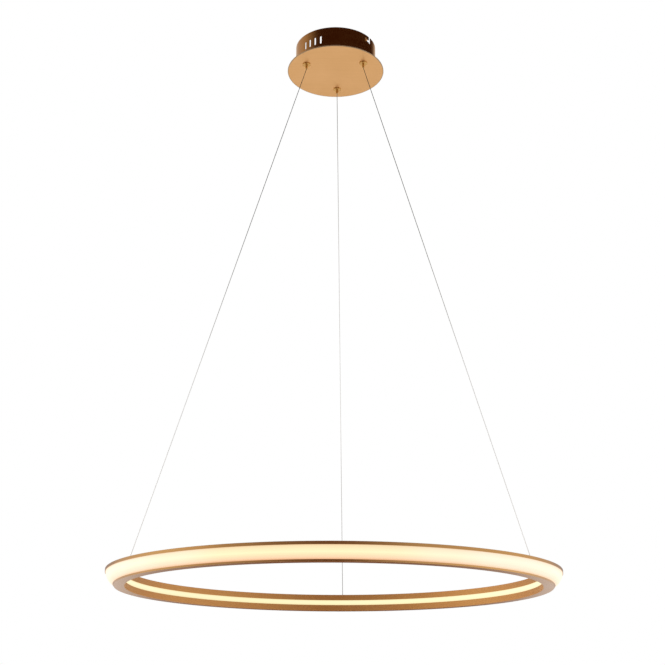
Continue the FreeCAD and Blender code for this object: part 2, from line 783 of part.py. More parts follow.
def make_output_leads():
    """The driver's two low-voltage leads, out to the splices on the live wires."""
    driver_end = -d.driver_length / 2 - d.slide_gap
    reach = d.splice_offset + d.splice_length + d.slide_gap
    left = along_tail("left", reach)
    right = along_tail("right", reach)
    left_turn = (left[0], d.driver_y + d.entry_spread)
    right_turn = along_tail("right", reach + d.output_turn_out)
    lane_y = d.driver_y - d.driver_width / 2 - d.output_lane_out
    entry_x = driver_end - d.output_entry_out
    entry_y = d.driver_y - d.entry_spread
    routes = [
        [left + (w.tail_z,), left_turn + (w.tail_z,), left_turn + (w.lead_z,),
         (driver_end, left_turn[1], w.lead_z)],
        [right + (w.tail_z,), right_turn + (w.tail_z,), right_turn + (w.lead_z,),
         (right_turn[0] - d.output_drop_in, lane_y, w.lead_z), (entry_x, lane_y, w.lead_z),
         (entry_x, entry_y, w.lead_z), (driver_end, entry_y, w.lead_z)],
    ]
    leads = []
    for number, points in enumerate(routes):
        leads.append(tube("output_lead_%d" % number, points, d.lead_dia / 2, d.lead_bend))
    return grouped("output_leads", leads)


def make_splices():
    """A crimped sleeve on each live wire, where the driver's lead meets it."""
    splices = []
    for side in ("left", "right"):
        x, y = along_tail(side, d.splice_offset)
        dx, dy = tail_direction(side)
        way = FreeCAD.Rotation(FreeCAD.Vector(0, 0, 1), FreeCAD.Vector(dx.value, dy.value, 0))
        splices.append(cylinder("splice_" + side, d.splice_dia / 2, d.splice_length, x, y, w.tail_z, way))
    return grouped("splices", splices)


# ---- the wire grippers; their own z = 0 is the plate's underside ----

def grip_levels():
    """Heights inside a gripper, from the plunger's shoulder up to the roof."""
    shoulder = d.grip_chamber_rise + d.slide_gap
    chamber_top = shoulder + d.shoulder_thick + d.plunger_travel + d.grip_chamber_spare
    cone_start = chamber_top + d.grip_throat
    cone_end = cone_start + d.grip_cone_height
    roof = d.grip_barrel_height - d.grip_roof
    return shoulder, chamber_top, cone_start, cone_end, roof


def ball_orbit():
    return w.wire_r + d.ball_dia / 2 + d.slide_gap


def ball_height():
    """Where a ball rests between the wire and the cone."""
    _, _, cone_start, cone_end, _ = grip_levels()
    rise = cone_end - cone_start
    flare = cone_top_r() - throat_r()
    slant = length_of(rise, flare)
    needed = ball_orbit() + (d.ball_dia / 2 + d.fit_gap) * slant / rise
    return cone_start + (needed - throat_r()) * rise / flare


def throat_r():
    return d.nose_dia / 2 + d.fit_gap * 2


def cone_top_r():
    return d.grip_barrel_dia / 2 - d.grip_wall


def make_gripper_body(side):
    """A threaded brass barrel with a flange below the plate and a cone inside that grips the balls."""
    _, chamber_top, cone_start, cone_end, roof = grip_levels()
    flange_r = d.grip_flange_dia / 2
    barrel_r = d.grip_barrel_dia / 2
    guide_r = d.nozzle_dia / 2 + d.slide_gap
    chamber_r = d.shoulder_dia / 2 + d.fit_gap
    flange_low = -d.grip_flange_thick
    outline = [
        (guide_r, flange_low), (flange_r - d.grip_flange_chamfer, flange_low),
        (flange_r, flange_low + d.grip_flange_chamfer), (flange_r, 0), (barrel_r, 0),
        (barrel_r, d.grip_barrel_height), (w.wire_r + d.seat_gap, d.grip_barrel_height),
        (w.wire_r + d.seat_gap, roof), (cone_top_r(), roof), (cone_top_r(), cone_end),
        (throat_r(), cone_start), (throat_r(), chamber_top), (chamber_r, chamber_top),
        (chamber_r, d.grip_chamber_rise), (guide_r, d.grip_chamber_rise),
    ]
    body = turned("gripper_body_" + side, outline)
    x, y = polar(w.grip_r, side_angle(side))
    return place(body, x, y, w.plate_bottom_z)


def make_gripper_plunger(side):
    """The sliding nozzle that the wire leaves by: pushed up, it lifts the balls out of the cone."""
    shoulder, _, _, _, _ = grip_levels()
    nozzle_r = d.nozzle_dia / 2
    tip = -d.grip_flange_thick - d.nozzle_length
    nose_top = ball_height() - d.ball_dia / 2 - d.slide_gap
    bore_r = w.wire_r + d.seat_gap
    outline = [
        (bore_r, tip), (nozzle_r - d.nozzle_chamfer, tip), (nozzle_r, tip + d.nozzle_chamfer),
        (nozzle_r, shoulder),
        (d.shoulder_dia / 2, shoulder), (d.shoulder_dia / 2, shoulder + d.shoulder_thick),
        (d.nose_dia / 2, shoulder + d.shoulder_thick), (d.nose_dia / 2, nose_top), (bore_r, nose_top),
    ]
    body = turned("gripper_plunger_" + side, outline)
    x, y = polar(w.grip_r, side_angle(side))
    return place(body, x, y, w.plate_bottom_z)


def make_gripper_balls(side):
    x, y = polar(w.grip_r, side_angle(side))
    balls = []
    for turn in (0, 120, 240):
        dx, dy = polar(ball_orbit(), turn)
        ball = doc.addObject("Part::Sphere", "ball_%s_%d" % (side, turn))
        bind(ball, "Radius", d.ball_dia / 2)
        balls.append(place(ball, x + dx, y + dy, w.plate_bottom_z + ball_height()))
    return grouped("gripper_balls_" + side, balls)


def helix_line(radius, height, turns):
    """A helix as tangent arcs, two for each quarter turn."""
    steps = round(turns * 4)
    ends = []
    for number in range(steps + 1):
        turn = math.pi / 2 * number
        at = FreeCAD.Vector(radius * math.cos(turn), radius * math.sin(turn), height * number / steps)
        climb = height / (2 * math.pi * turns)
        way = FreeCAD.Vector(-radius * math.sin(turn), radius * math.cos(turn), climb).normalize()
        ends.append((at, way))
    edges = []
    for (start, way_out), (stop, way_in) in zip(ends, ends[1:]):
        across = stop - start
        spread = 2 * (1 - way_out.dot(way_in))
        along = across.dot(way_out + way_in)
        reach = (math.sqrt(along ** 2 + spread * across.dot(across)) - along) / spread
        first_corner = start + way_out * reach
        last_corner = stop - way_in * reach
        middle = (first_corner + last_corner) * 0.5
        for before, corner, after in ((start, first_corner, middle), (middle, last_corner, stop)):
            bend = reach * math.tan((before - corner).getAngle(after - corner) / 2)
            edges.append(Part.Arc(*corner_arc(before, corner, after, bend)).toShape())
    return Part.Wire(edges)


def make_gripper_spring(side):
    """The small spring that presses the balls and the plunger down."""
    _, _, _, _, roof = grip_levels()
    wire_r = (d.spring_wire_dia / 2).value
    bottom = ball_height() + d.ball_dia / 2 + d.spring_wire_dia / 2 + d.fit_gap
    coil_r = (w.wire_r + d.ball_dia).value
    height = (roof - d.spring_wire_dia / 2 - d.fit_gap - bottom).value
    turns = d.spring_turns.value
    line = helix_line(coil_r, height, turns)
    start = line.Edges[0]
    circle = Part.Circle(start.valueAt(start.FirstParameter), start.tangentAt(start.FirstParameter), wire_r)
    shape = line.makePipeShell([Part.Wire([circle.toShape()])], True, False)
    print("gripper_spring_%s: least gap %.2f, volume %.4f of its section times its length"
          % (side, height / turns - 2 * wire_r, shape.Volume / (math.pi * wire_r ** 2 * line.Length)))
    x, y = polar(w.grip_r, side_angle(side))
    return place(solid_of("gripper_spring_" + side, shape), x, y, w.plate_bottom_z + bottom)


def make_gripper_nuts():
    nuts = []
    for side in SIDES:
        x, y = polar(w.grip_r, side_angle(side))
        blank = hexagon("grip_nut_blank_" + side, d.grip_nut_flats, d.grip_nut_thick, x, y, w.plate_top_z)
        bore = cylinder("grip_nut_bore_" + side, d.grip_barrel_dia / 2 + d.slide_gap, d.grip_nut_thick,
                        x, y, w.plate_top_z)
        nuts.append(cut("grip_nut_" + side, blank, [bore]))
    return grouped("gripper_nuts", nuts)


# ---- the suspension wires ----

def make_wire_head(side):
    """The wire from its nozzle up through the gripper, with the stop crimp that ends its drop."""
    x, y = polar(w.grip_r, side_angle(side))
    barrel_top = w.plate_bottom_z + d.grip_barrel_height
    stop = cylinder("stop_" + side, d.crimp_dia / 2, d.crimp_length, x, y, barrel_top + d.slide_gap)
    if side == "far":
        line = cylinder("line_far", w.wire_r, w.tail_z - w.nozzle_tip_z, x, y, w.nozzle_tip_z)
    else:
        end = along_tail(side, d.splice_offset - d.slide_gap) + (w.tail_z,)
        line = tube("line_" + side, [(x, y, w.nozzle_tip_z), (x, y, w.tail_z), end], w.wire_r, d.tail_bend)
    return fused("wire_head_" + side, [line, stop])


def make_wire(side):
    """The free stretch, pulled straight from the nozzle's tip to the ring's anchor."""
    angle = side_angle(side)
    start_z = w.nozzle_tip_z - d.seat_gap
    across = w.anchor_r - w.grip_r
    down = start_z - w.foot_top_z - d.seat_gap
    x, y = polar(w.grip_r, angle)
    turn = math.radians(angle.value)
    way = FreeCAD.Vector(across.value * math.cos(turn), across.value * math.sin(turn), -down.value)
    print("wire_%s: free length %.1f" % (side, way.Length))
    return cylinder("wire_" + side, w.wire_r, length_of(across, down), x, y, start_z,
                    FreeCAD.Rotation(FreeCAD.Vector(0, 0, 1), way))


def make_wire_foot(side):
    """The wire's end in the ring: down through the bush, with a crimp that can't pass back up."""
    x, y = polar(w.anchor_r, side_angle(side))
    crimp_top = w.ring_z - d.bush_barrel_length - d.slide_gap
    crimp_bottom = crimp_top - d.crimp_length
    line = cylinder("foot_line_" + side, w.wire_r, w.foot_top_z - crimp_bottom, x, y, crimp_bottom)
    crimp = cylinder("foot_crimp_" + side, d.crimp_dia / 2, d.crimp_length, x, y, crimp_bottom)
    return fused("wire_foot_" + side, [line, crimp])


# ---- the ring; its own z = 0 is the shelf's top ----

def slant_point(along, depth):
    """A point measured along the slant from the upright lip's foot, and in from the slant."""
    radius = w.ring_r - along * w.slant_in - depth * w.slant_down
    return radius, depth * w.slant_in - along * w.slant_down - d.upper_lip


def slant_along(z, depth):
    """How far along the slant a height z lies, at a depth behind it."""
    return (depth * w.slant_in - d.upper_lip - z) / w.slant_down


def stripe_z():
    """The top and the bottom of the gap in the inner wall that the light stripe fills."""
    top = d.ring_upstand - d.stripe_from_top
    return top, top - d.stripe_height


def make_ring_profile():
    """One rolled extrusion: upstanding inner wall, shelf, web, floor and the two lips of the outer face."""
    bottom = -d.ring_outer_height
    floor = bottom + d.ring_wall
    lip_inner_r = w.ring_r - d.lip_thick
    foot_top = bottom + d.lower_lip
    foot_out = slant_point(slant_along(foot_top, 0), 0)
    fin_outer = w.ring_bottom_r - d.support_fin_setback + d.support_fin_thick
    fin_inner = w.ring_bottom_r - d.support_fin_setback
    stripe_top, stripe_bottom = stripe_z()
    outline = [
        (w.ring_inner_r, d.ring_upstand), (w.inner_wall_back_r, d.ring_upstand),
        (w.inner_wall_back_r, 0), (w.ring_r, 0),
        (w.ring_r, -d.upper_lip), (lip_inner_r, -d.upper_lip), (lip_inner_r, -d.ring_wall),
        (w.web_outer_r, -d.ring_wall), (w.web_outer_r, floor),
        (fin_inner, floor), (fin_inner, floor + d.support_fin),
        (fin_outer, floor + d.support_fin), (fin_outer, floor),
        (foot_out[0] - d.foot_lip_thick, floor), (foot_out[0] - d.foot_lip_thick, foot_top), foot_out,
        (w.ring_bottom_r, bottom), (w.ring_inner_r, bottom),
        (w.ring_inner_r, stripe_bottom), (w.inner_wall_back_r, stripe_bottom),
        (w.inner_wall_back_r, floor), (w.web_inner_r, floor),
        (w.web_inner_r, -d.ring_wall), (w.inner_wall_back_r, -d.ring_wall),
        (w.inner_wall_back_r, stripe_top), (w.ring_inner_r, stripe_top),
    ]
    body = turned("ring_profile", outline)
    doc.recompute()
    circle = ((w.anchor_r, 0), d.bush_barrel_dia / 2 + d.fit_gap)
    hole = bored_down(body, "anchor_hole", [circle], d.ring_wall)
    repeated_round(body, "anchor_holes", hole, len(SIDES))
    return place(body, 0, 0, w.ring_z, about_z(side_angle("far")))


def make_outer_diffuser():
    """The opal band: a bulged face whose straight edges sit behind the two lips."""
    behind = d.lip_thick + d.fit_gap
    back = behind + d.diffuser_thick
    foot_behind = behind + d.foot_tuck
    top_z = -d.ring_wall - d.fit_gap
    bottom_z = -d.ring_outer_height + d.ring_wall + d.fit_gap
    face_end = w.slant_length - d.lower_lip / w.slant_down - d.fit_gap
    face_foot = slant_point(face_end, foot_behind)
    back_foot = slant_point(face_end - d.diffuser_thick / 2, back)
    face_r = w.ring_r - behind
    back_r = w.ring_r - back
    outline = [
        (face_r, top_z), (face_r, -d.upper_lip),
        face_foot, slant_point(slant_along(bottom_z, foot_behind), foot_behind),
        slant_point(slant_along(bottom_z, back), back),
        back_foot, (back_r, -d.upper_lip), (back_r, top_z),
    ]
    chord = length_of(face_r - face_foot[0], face_foot[1] + d.upper_lip)
    bulge_r = cap_radius(chord / 2, d.diffuser_bulge)
    arcs = {1: (bulge_r, 1), 5: (bulge_r - d.diffuser_thick, -1)}
    return place(turned("outer_diffuser", outline, arcs), 0, 0, w.ring_z)


def make_inner_diffuser():
    """The narrow opal stripe, with flanges that clip behind the inner wall."""
    stripe_top, stripe_bottom = stripe_z()
    face = w.inner_wall_back_r - d.stripe_diffuser_thick
    back = w.inner_wall_back_r + d.fit_gap
    flange = d.stripe_flange
    outline = [
        (face, stripe_bottom + d.fit_gap), (back, stripe_bottom + d.fit_gap),
        (back, stripe_bottom - flange), (back + d.stripe_flange_thick, stripe_bottom - flange),
        (back + d.stripe_flange_thick, stripe_top + flange), (back, stripe_top + flange),
        (back, stripe_top - d.fit_gap), (face, stripe_top - d.fit_gap),
    ]
    return place(turned("inner_diffuser", outline), 0, 0, w.ring_z)


def tape_middle(name):
    """The outer tape sits half-way up the ring, and the inner one half-way up its stripe."""
    if name == "outer":
        return -d.ring_outer_height / 2
    stripe_top, stripe_bottom = stripe_z()
    return (stripe_top + stripe_bottom) / 2


def make_led_tape(name, inner):
    outer = inner + d.tape_thick
    bottom = tape_middle(name) - d.tape_height / 2
    top = bottom + d.tape_height
    outline = [(inner, bottom), (outer, bottom), (outer, top), (inner, top)]
    return place(turned(name + "_led_tape", outline), 0, 0, w.ring_z)


def make_led_chips(name, inner, count):
    """A ring of small LED packages, evenly spaced on their tape."""
    wide = d.chip_width.value
    tall = d.chip_height.value
    low = (tape_middle(name) - d.chip_height / 2 + w.ring_z).value
    corner = FreeCAD.Vector(inner.value, -wide / 2, low)
    chip = Part.makeBox(d.chip_thick.value, wide, tall, corner)
    total = int(count.value)
    chips = []
    for number in range(total):
        turned_chip = chip.copy()
        turned_chip.rotate(FreeCAD.Vector(0, 0, 0), FreeCAD.Vector(0, 0, 1), 360.0 * number / total)
        chips.append(turned_chip)
    return solid_of(name + "_led_chips", Part.makeCompound(chips))


def make_anchor_bushings():
    flange_r = d.bush_flange_dia / 2
    barrel_r = d.bush_barrel_dia / 2
    bore_r = w.wire_r + d.seat_gap
    top = d.bush_flange_thick
    outline = [
        (bore_r, -d.bush_barrel_length), (barrel_r, -d.bush_barrel_length), (barrel_r, 0), (flange_r, 0),
        (flange_r, top - d.bush_flange_chamfer), (flange_r - d.bush_flange_chamfer, top), (bore_r, top),
    ]
    bushes = []
    for side in SIDES:
        x, y = polar(w.anchor_r, side_angle(side))
        bushes.append(place(turned("bush_" + side, outline), x, y, w.ring_z))
    return grouped("anchor_bushings", bushes)


def make_bushing_nuts():
    nuts = []
    for side in SIDES:
        x, y = polar(w.anchor_r, side_angle(side))
        top = w.ring_z - d.ring_wall - d.tag_thick
        blank = hexagon("bush_nut_blank_" + side, d.bush_nut_flats, d.bush_nut_thick, x, y,
                        top - d.bush_nut_thick)
        bore = cylinder("bush_nut_bore_" + side, d.bush_barrel_dia / 2 + d.slide_gap, d.bush_nut_thick,
                        x, y, top - d.bush_nut_thick)
        nuts.append(cut("bush_nut_" + side, blank, [bore]))
    return grouped("bushing_nuts", nuts)


def make_contact_tags():
    """Eye tags under the nuts; the two live ones reach down to the outer LED tape."""
    tags = []
    tape_face = w.web_outer_r + d.tape_thick + d.slide_gap * 2
    leg_low = w.ring_z + tape_middle("outer") + d.tape_height / 2 - d.tag_leg_lap
    top = w.ring_z - d.ring_wall
    for side in SIDES:
        angle = side_angle(side)
        x, y = polar(w.anchor_r, angle)
        parts = [cylinder("tag_eye_" + side, d.tag_eye_dia / 2, d.tag_thick, x, y, top - d.tag_thick)]
        if side != "far":
            parts.append(radial_box("tag_strip_" + side, tape_face, w.anchor_r, d.tag_strip_width,
                                    top - d.tag_thick, d.tag_thick, angle))
            parts.append(radial_box("tag_leg_" + side, tape_face, tape_face + d.tag_thick,
                                    d.tag_strip_width, leg_low, top - leg_low, angle))
        bore = cylinder("tag_bore_" + side, d.bush_barrel_dia / 2 + d.fit_gap, d.tag_thick * 3,
                        x, y, top - d.tag_thick * 2)
        tags.append(cut("tag_" + side, fused("tag_blank_" + side, parts), [bore]))
    return grouped("contact_tags", tags)


# ---- everything, by node ----

def make_everything():
    outer_tape_r = w.web_outer_r + d.slide_gap
    inner_tape_r = w.web_inner_r - d.slide_gap - d.tape_thick
    nodes = [
        make_ceiling_bracket(), make_side_screws(),
        make_canopy_drum(), make_canopy_plate(), make_plate_studs(), make_stud_nuts(),
        make_driver_case(), make_driver_lid(), make_driver_board(), make_driver_components(),
        make_terminal_block(), make_terminal_screws(),
        make_mains_leads(), make_earth_lead(), make_output_leads(), make_splices(), make_gripper_nuts(),
        make_ring_profile(), make_outer_diffuser(), make_inner_diffuser(),
        make_led_tape("outer", outer_tape_r), make_led_tape("inner", inner_tape_r),
        make_led_chips("outer", outer_tape_r + d.tape_thick + d.slide_gap, d.outer_chips),
        make_led_chips("inner", inner_tape_r - d.slide_gap - d.chip_thick, d.inner_chips),
        make_anchor_bushings(), make_bushing_nuts(), make_contact_tags(),
    ]
    for side in SIDES:
        nodes += [
            make_gripper_body(side), make_gripper_plunger(side), make_gripper_balls(side),
            make_gripper_spring(side), make_wire_head(side), make_wire(side), make_wire_foot(side),
        ]
    return nodes


def check_holes(nodes):
    """A pocket that points away from its solid cuts nothing, so the volumes are compared."""
    by_name = {node.Label: node for node in nodes}
    for name, radius, depth in (("canopy_plate", d.grip_barrel_dia / 2 + d.fit_gap, d.plate_thick),
                                ("ring_profile", d.bush_barrel_dia / 2 + d.fit_gap, d.ring_wall)):
        body = by_name[name]
        spin = [part for part in body.Group if part.isDerivedFrom("PartDesign::Revolution")][0]
        removed = spin.Shape.Volume - body.Shape.Volume
        expected = len(SIDES) * math.pi * radius.value ** 2 * depth.value
        print("%s: holes take %.2f of %.2f" % (name, removed, expected))
        if abs(removed - expected) > 0.01 * expected:
            raise RuntimeError(name + " holes were not cut")


def check_document():
    for item in doc.Objects:
        if "Invalid" in item.State or "Error" in item.State:
            raise RuntimeError("%s is %s" % (item.Label, item.State))


def write_parts(nodes):
    os.makedirs("parts", exist_ok=True)
    for node in nodes:
        shape = node.Shape
        if shape.isNull() or not shape.isValid() or not shape.Solids:
            raise RuntimeError(node.Label + " has no valid solid")
        shape.exportStep("parts/%s.step" % node.Label)
    print("%d nodes, %d solids" % (len(nodes), sum(len(node.Shape.Solids) for node in nodes)))


all_nodes = make_everything()
doc.recompute()
check_document()
check_holes(all_nodes)
write_parts(all_nodes)
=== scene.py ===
import math

import bpy
from mathutils import Matrix, Vector


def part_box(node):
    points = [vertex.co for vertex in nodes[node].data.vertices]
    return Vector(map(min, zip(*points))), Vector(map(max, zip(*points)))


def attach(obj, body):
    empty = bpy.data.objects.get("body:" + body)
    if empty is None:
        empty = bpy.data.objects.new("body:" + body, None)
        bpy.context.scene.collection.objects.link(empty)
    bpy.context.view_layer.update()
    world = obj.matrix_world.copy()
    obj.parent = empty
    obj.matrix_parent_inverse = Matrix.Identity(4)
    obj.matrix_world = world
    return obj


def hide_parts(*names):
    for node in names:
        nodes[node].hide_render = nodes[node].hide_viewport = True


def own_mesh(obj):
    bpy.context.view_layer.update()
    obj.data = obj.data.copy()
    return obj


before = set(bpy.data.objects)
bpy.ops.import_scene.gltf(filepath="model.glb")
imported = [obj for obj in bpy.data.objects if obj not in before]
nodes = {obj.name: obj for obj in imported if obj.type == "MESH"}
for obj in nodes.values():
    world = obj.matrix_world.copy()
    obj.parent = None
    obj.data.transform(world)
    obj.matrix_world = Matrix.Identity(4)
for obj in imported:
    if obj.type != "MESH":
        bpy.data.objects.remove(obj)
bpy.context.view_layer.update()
print("stage: frame loaded,", len(nodes), "CAD nodes")

# +Z is up, the viewer is at -Y, and the ceiling is at z = 0. Everything is in metres.
sides = {"left": 207.1, "right": 327.1, "far": 87.1}   # degrees from +X, of each wire's side


cameraSettings = {
    "place": (-0.00426, -2.08979, -1.33488),
    "lookUp": 18.862, "roll": 0.23,     # degrees
    "lens": 62.82, "sensor": 36,        # mm
    "clip": (0.05, 60),
}


def makeCamera(settings):
    bpy.ops.object.camera_add(location=settings["place"])
    camera = bpy.context.active_object
    camera.name = "photoCamera"
    upright = Matrix.Rotation(math.radians(90 + settings["lookUp"]), 4, "X")
    turned = upright @ Matrix.Rotation(math.radians(settings["roll"]), 4, "Z")
    camera.matrix_world = Matrix.Translation(settings["place"]) @ turned
    camera.data.sensor_width = settings["sensor"]
    camera.data.lens = settings["lens"]
    camera.data.clip_start, camera.data.clip_end = settings["clip"]
    bpy.context.scene.camera = camera


makeCamera(cameraSettings)
print("stage: camera")


meshSettings = {
    "seedSize": 0.001,        # the small plane that an outline grows from
    "sameCorner": 0.000002,   # a vertex this near to a corner is that corner
    "merge": 0.0000015,       # vertices this near are one
    "sliver": 0.000001,       # edges this short are taken out after a cut
    "smoothBelow": 32,        # degrees between two faces, below which their edge is smooth
    "roundBelow": 50,         # the same on a thin wire
    "broadWeight": 80,        # how far a broad face's normal rules over a narrow one's
}


def deselectAll():
    if bpy.context.mode != "OBJECT":
        bpy.ops.object.mode_set(mode="OBJECT")
    bpy.ops.object.select_all(action="DESELECT")


def workOn(piece):
    deselectAll()
    piece.select_set(True)
    bpy.context.view_layer.objects.active = piece


# kind is VERT, EDGE or FACE
def editMode(kind):
    bpy.ops.object.mode_set(mode="EDIT")
    kinds = ("VERT", "EDGE", "FACE")
    bpy.context.tool_settings.mesh_select_mode = tuple(kind == each for each in kinds)


def editWhole(piece, kind="VERT"):
    workOn(piece)
    editMode(kind)
    bpy.ops.mesh.select_all(action="SELECT")


def pointOutwards():
    bpy.ops.mesh.select_all(action="SELECT")
    bpy.ops.mesh.normals_make_consistent(inside=False)
    bpy.ops.object.mode_set(mode="OBJECT")


def applyPlace(piece):
    workOn(piece)
    bpy.ops.object.transform_apply(location=True, rotation=True, scale=True)


def pickVertices(piece, rule):
    bpy.ops.object.mode_set(mode="OBJECT")
    for part in (piece.data.polygons, piece.data.edges):
        for each in part:
            each.select = False
    for vertex in piece.data.vertices:
        vertex.select = rule(vertex.co)
    editMode("VERT")


# A face in the XZ plane: one vertex extruded from point to point, then filled. Each of the rounds
# is a radius, its steps, and the numbers of the points that it rounds.
def drawOutline(name, points, rounds=()):
    deselectAll()
    start = Vector((points[0][0], 0, points[0][1]))
    bpy.ops.mesh.primitive_plane_add(size=meshSettings["seedSize"], location=start)
    piece = bpy.context.active_object
    piece.name = piece.data.name = name
    applyPlace(piece)
    editWhole(piece)
    bpy.ops.mesh.merge(type="CENTER")
    here = start
    for across, up in points[1:]:
        there = Vector((across, 0, up))
        bpy.ops.mesh.extrude_region_move(TRANSFORM_OT_translate={"value": there - here})
        here = there
    bpy.ops.mesh.select_all(action="SELECT")
    bpy.ops.mesh.edge_face_add()
    near = meshSettings["sameCorner"]
    for radius, steps, corners in rounds:
        places = [Vector((points[corner][0], 0, points[corner][1])) for corner in corners]
        pickVertices(piece, lambda at: any((at - place).length < near for place in places))
        bpy.ops.mesh.bevel(offset_type="OFFSET", offset=radius, segments=steps, affect="VERTICES")
    bpy.ops.object.mode_set(mode="OBJECT")
    return piece


def smooth(piece, angle=meshSettings["smoothBelow"]):
    workOn(piece)
    bpy.ops.object.shade_smooth_by_angle(angle=math.radians(angle))


# the outline goes once round the Z axis and closes on itself
def spinRound(piece, steps):
    editWhole(piece)
    bpy.ops.mesh.delete(type="ONLY_FACE")
    bpy.ops.mesh.select_all(action="SELECT")
    bpy.ops.mesh.spin(steps=steps, angle=math.tau, center=(0, 0, 0), axis=(0, 0, 1))
    bpy.ops.mesh.select_all(action="SELECT")
    bpy.ops.mesh.remove_doubles(threshold=meshSettings["merge"])
    bpy.ops.mesh.delete_loose()
    pointOutwards()
    smooth(piece)
    return piece


# the outline is drawn out by one move, which makes it a solid
def extrudeBy(piece, move):
    editWhole(piece, "FACE")
    bpy.ops.mesh.extrude_region_move(TRANSFORM_OT_translate={"value": move})
    pointOutwards()


def turnPiece(piece, degrees, axis="Z"):
    piece.matrix_world = Matrix.Rotation(math.radians(degrees), 4, axis) @ piece.matrix_world
    applyPlace(piece)


def movePiece(piece, move):
    piece.location = Vector(piece.location) + Vector(move)
    applyPlace(piece)


def copyPiece(piece, name):
    workOn(piece)
    bpy.ops.object.duplicate(linked=False)
    twin = bpy.context.active_object
    twin.name = twin.data.name = name
    return twin


# the others become part of the first
def joinPieces(pieces, name):
    deselectAll()
    for piece in pieces:
        piece.select_set(True)
    bpy.context.view_layer.objects.active = pieces[0]
    bpy.ops.object.join()
    pieces[0].name = pieces[0].data.name = name
    smooth(pieces[0])
    return pieces[0]


def cutWith(piece, cutters, operation="DIFFERENCE"):
    for cutter in cutters:
        workOn(piece)
        knife = piece.modifiers.new("cut", "BOOLEAN")
        knife.operation = operation
        knife.solver = "EXACT"
        knife.object = cutter
        bpy.ops.object.modifier_apply(modifier=knife.name)
        bpy.data.objects.remove(cutter, do_unlink=True)
    editWhole(piece)
    bpy.ops.mesh.dissolve_degenerate(threshold=meshSettings["sliver"])
    bpy.ops.object.mode_set(mode="OBJECT")


# an upright bar that cuts a round hole
def makeBar(radius, depth, place, corners=32):
    deselectAll()
    bpy.ops.mesh.primitive_cylinder_add(vertices=corners, radius=radius, depth=depth,
                                        location=place)
    bar = bpy.context.active_object
    applyPlace(bar)
    return bar


# broad faces keep their own normals, so that a narrow rounded edge doesn't tilt the shine on them
def settleNormals(piece):
    workOn(piece)
    weighted = piece.modifiers.new("settledNormals", "WEIGHTED_NORMAL")
    weighted.keep_sharp = True
    weighted.weight = meshSettings["broadWeight"]
    bpy.ops.object.modifier_apply(modifier=weighted.name)


# a finished piece gets settled normals, its material and its body, and the node it stands for is
# hidden
def fit(piece, material, body, nodeName):
    settleNormals(piece)
    piece.data.materials.clear()
    piece.data.materials.append(material)
    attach(piece, body)
    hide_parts(nodeName)


def polar(radius, degrees):
    return radius * math.cos(math.radians(degrees)), radius * math.sin(math.radians(degrees))


# an sRGB hex colour as the linear values that the shader takes
def linearColour(hexText):
    values = [int(hexText[i:i + 2], 16) / 255 for i in (1, 3, 5)]
    return tuple(v / 12.92 if v <= 0.04045 else ((v + 0.055) / 1.055) ** 2.4
                 for v in values) + (1.0,)


# one node, with its settings, and for each socket a value or the socket that feeds it
def addNode(tree, kind, sockets=None, **settings):
    node = tree.nodes.new(kind)
    for key, value in settings.items():
        setattr(node, key, value)
    for socket, value in (sockets or {}).items():
        if isinstance(value, bpy.types.NodeSocket):
            tree.links.new(value, node.inputs[socket])
        else:
            node.inputs[socket].default_value = value
    return node


def newMaterial(name, **values):
    material = bpy.data.materials.new(name)
    material.use_nodes = True
    tree = material.node_tree
    shader = tree.nodes["Principled BSDF"]
    for socket, value in values.items():
        shader.inputs[socket.replace("_", " ")].default_value = value
    return material, tree, shader


def mixColours(tree, factor, first, second):
    sockets = {0: factor, 6: first, 7: second}
    return addNode(tree, "ShaderNodeMix", sockets, data_type="RGBA").outputs[2]


# a noise on stretched Object coordinates: grains is how many lie in each metre, by axis
def grainOf(tree, grains, detail=3.0):
    place = addNode(tree, "ShaderNodeTexCoord").outputs["Object"]
    mapped = addNode(tree, "ShaderNodeMapping", {"Vector": place, "Scale": grains})
    noise = {"Vector": mapped.outputs[0], "Scale": 1.0, "Detail": detail, "Roughness": 0.55}
    return addNode(tree, "ShaderNodeTexNoise", noise).outputs["Fac"]


def radiusOf(tree, place):
    flat = addNode(tree, "ShaderNodeMapping", {"Vector": place, "Scale": (1, 1, 0)}).outputs[0]
    return addNode(tree, "ShaderNodeVectorMath", {0: flat}, operation="LENGTH").outputs["Value"]


# lines that run round the Z axis: the noise reads only the radius and the height
def roundGrainOf(tree, acrossPerMetre, upPerMetre):
    place = addNode(tree, "ShaderNodeTexCoord").outputs["Object"]
    height = addNode(tree, "ShaderNodeSeparateXYZ", {0: place}).outputs[2]
    section = addNode(tree, "ShaderNodeCombineXYZ", {0: radiusOf(tree, place), 2: height})
    mapped = addNode(tree, "ShaderNodeMapping",
                     {"Vector": section.outputs[0], "Scale": (acrossPerMetre, 1, upPerMetre)})
    noise = {"Vector": mapped.outputs[0], "Scale": 1.0, "Detail": 2.0, "Roughness": 0.6}
    return addNode(tree, "ShaderNodeTexNoise", noise).outputs["Fac"]


# a smooth run of colours, each at its share of the way: hex colours, or grey levels from 0 to 1
def rampOf(tree, share, stops):
    ramp = addNode(tree, "ShaderNodeValToRGB", {0: share})
    ramp.color_ramp.interpolation = "EASE"
    while len(ramp.color_ramp.elements) < len(stops):
        ramp.color_ramp.elements.new(0.5)
    for element, (at, shade) in zip(ramp.color_ramp.elements, stops):
        element.position = at
        isHex = isinstance(shade, str)
        element.color = linearColour(shade) if isHex else (shade, shade, shade, 1)
    return ramp.outputs[0]


# a value from one span to another: most of a noise lies between 0.3 and 0.7
def rangeOf(tree, value, low, high, fromLow=0.3, fromHigh=0.7):
    spans = {"Value": value, "From Min": fromLow, "From Max": fromHigh,
             "To Min": low, "To Max": high}
    return addNode(tree, "ShaderNodeMapRange", spans).outputs[0]


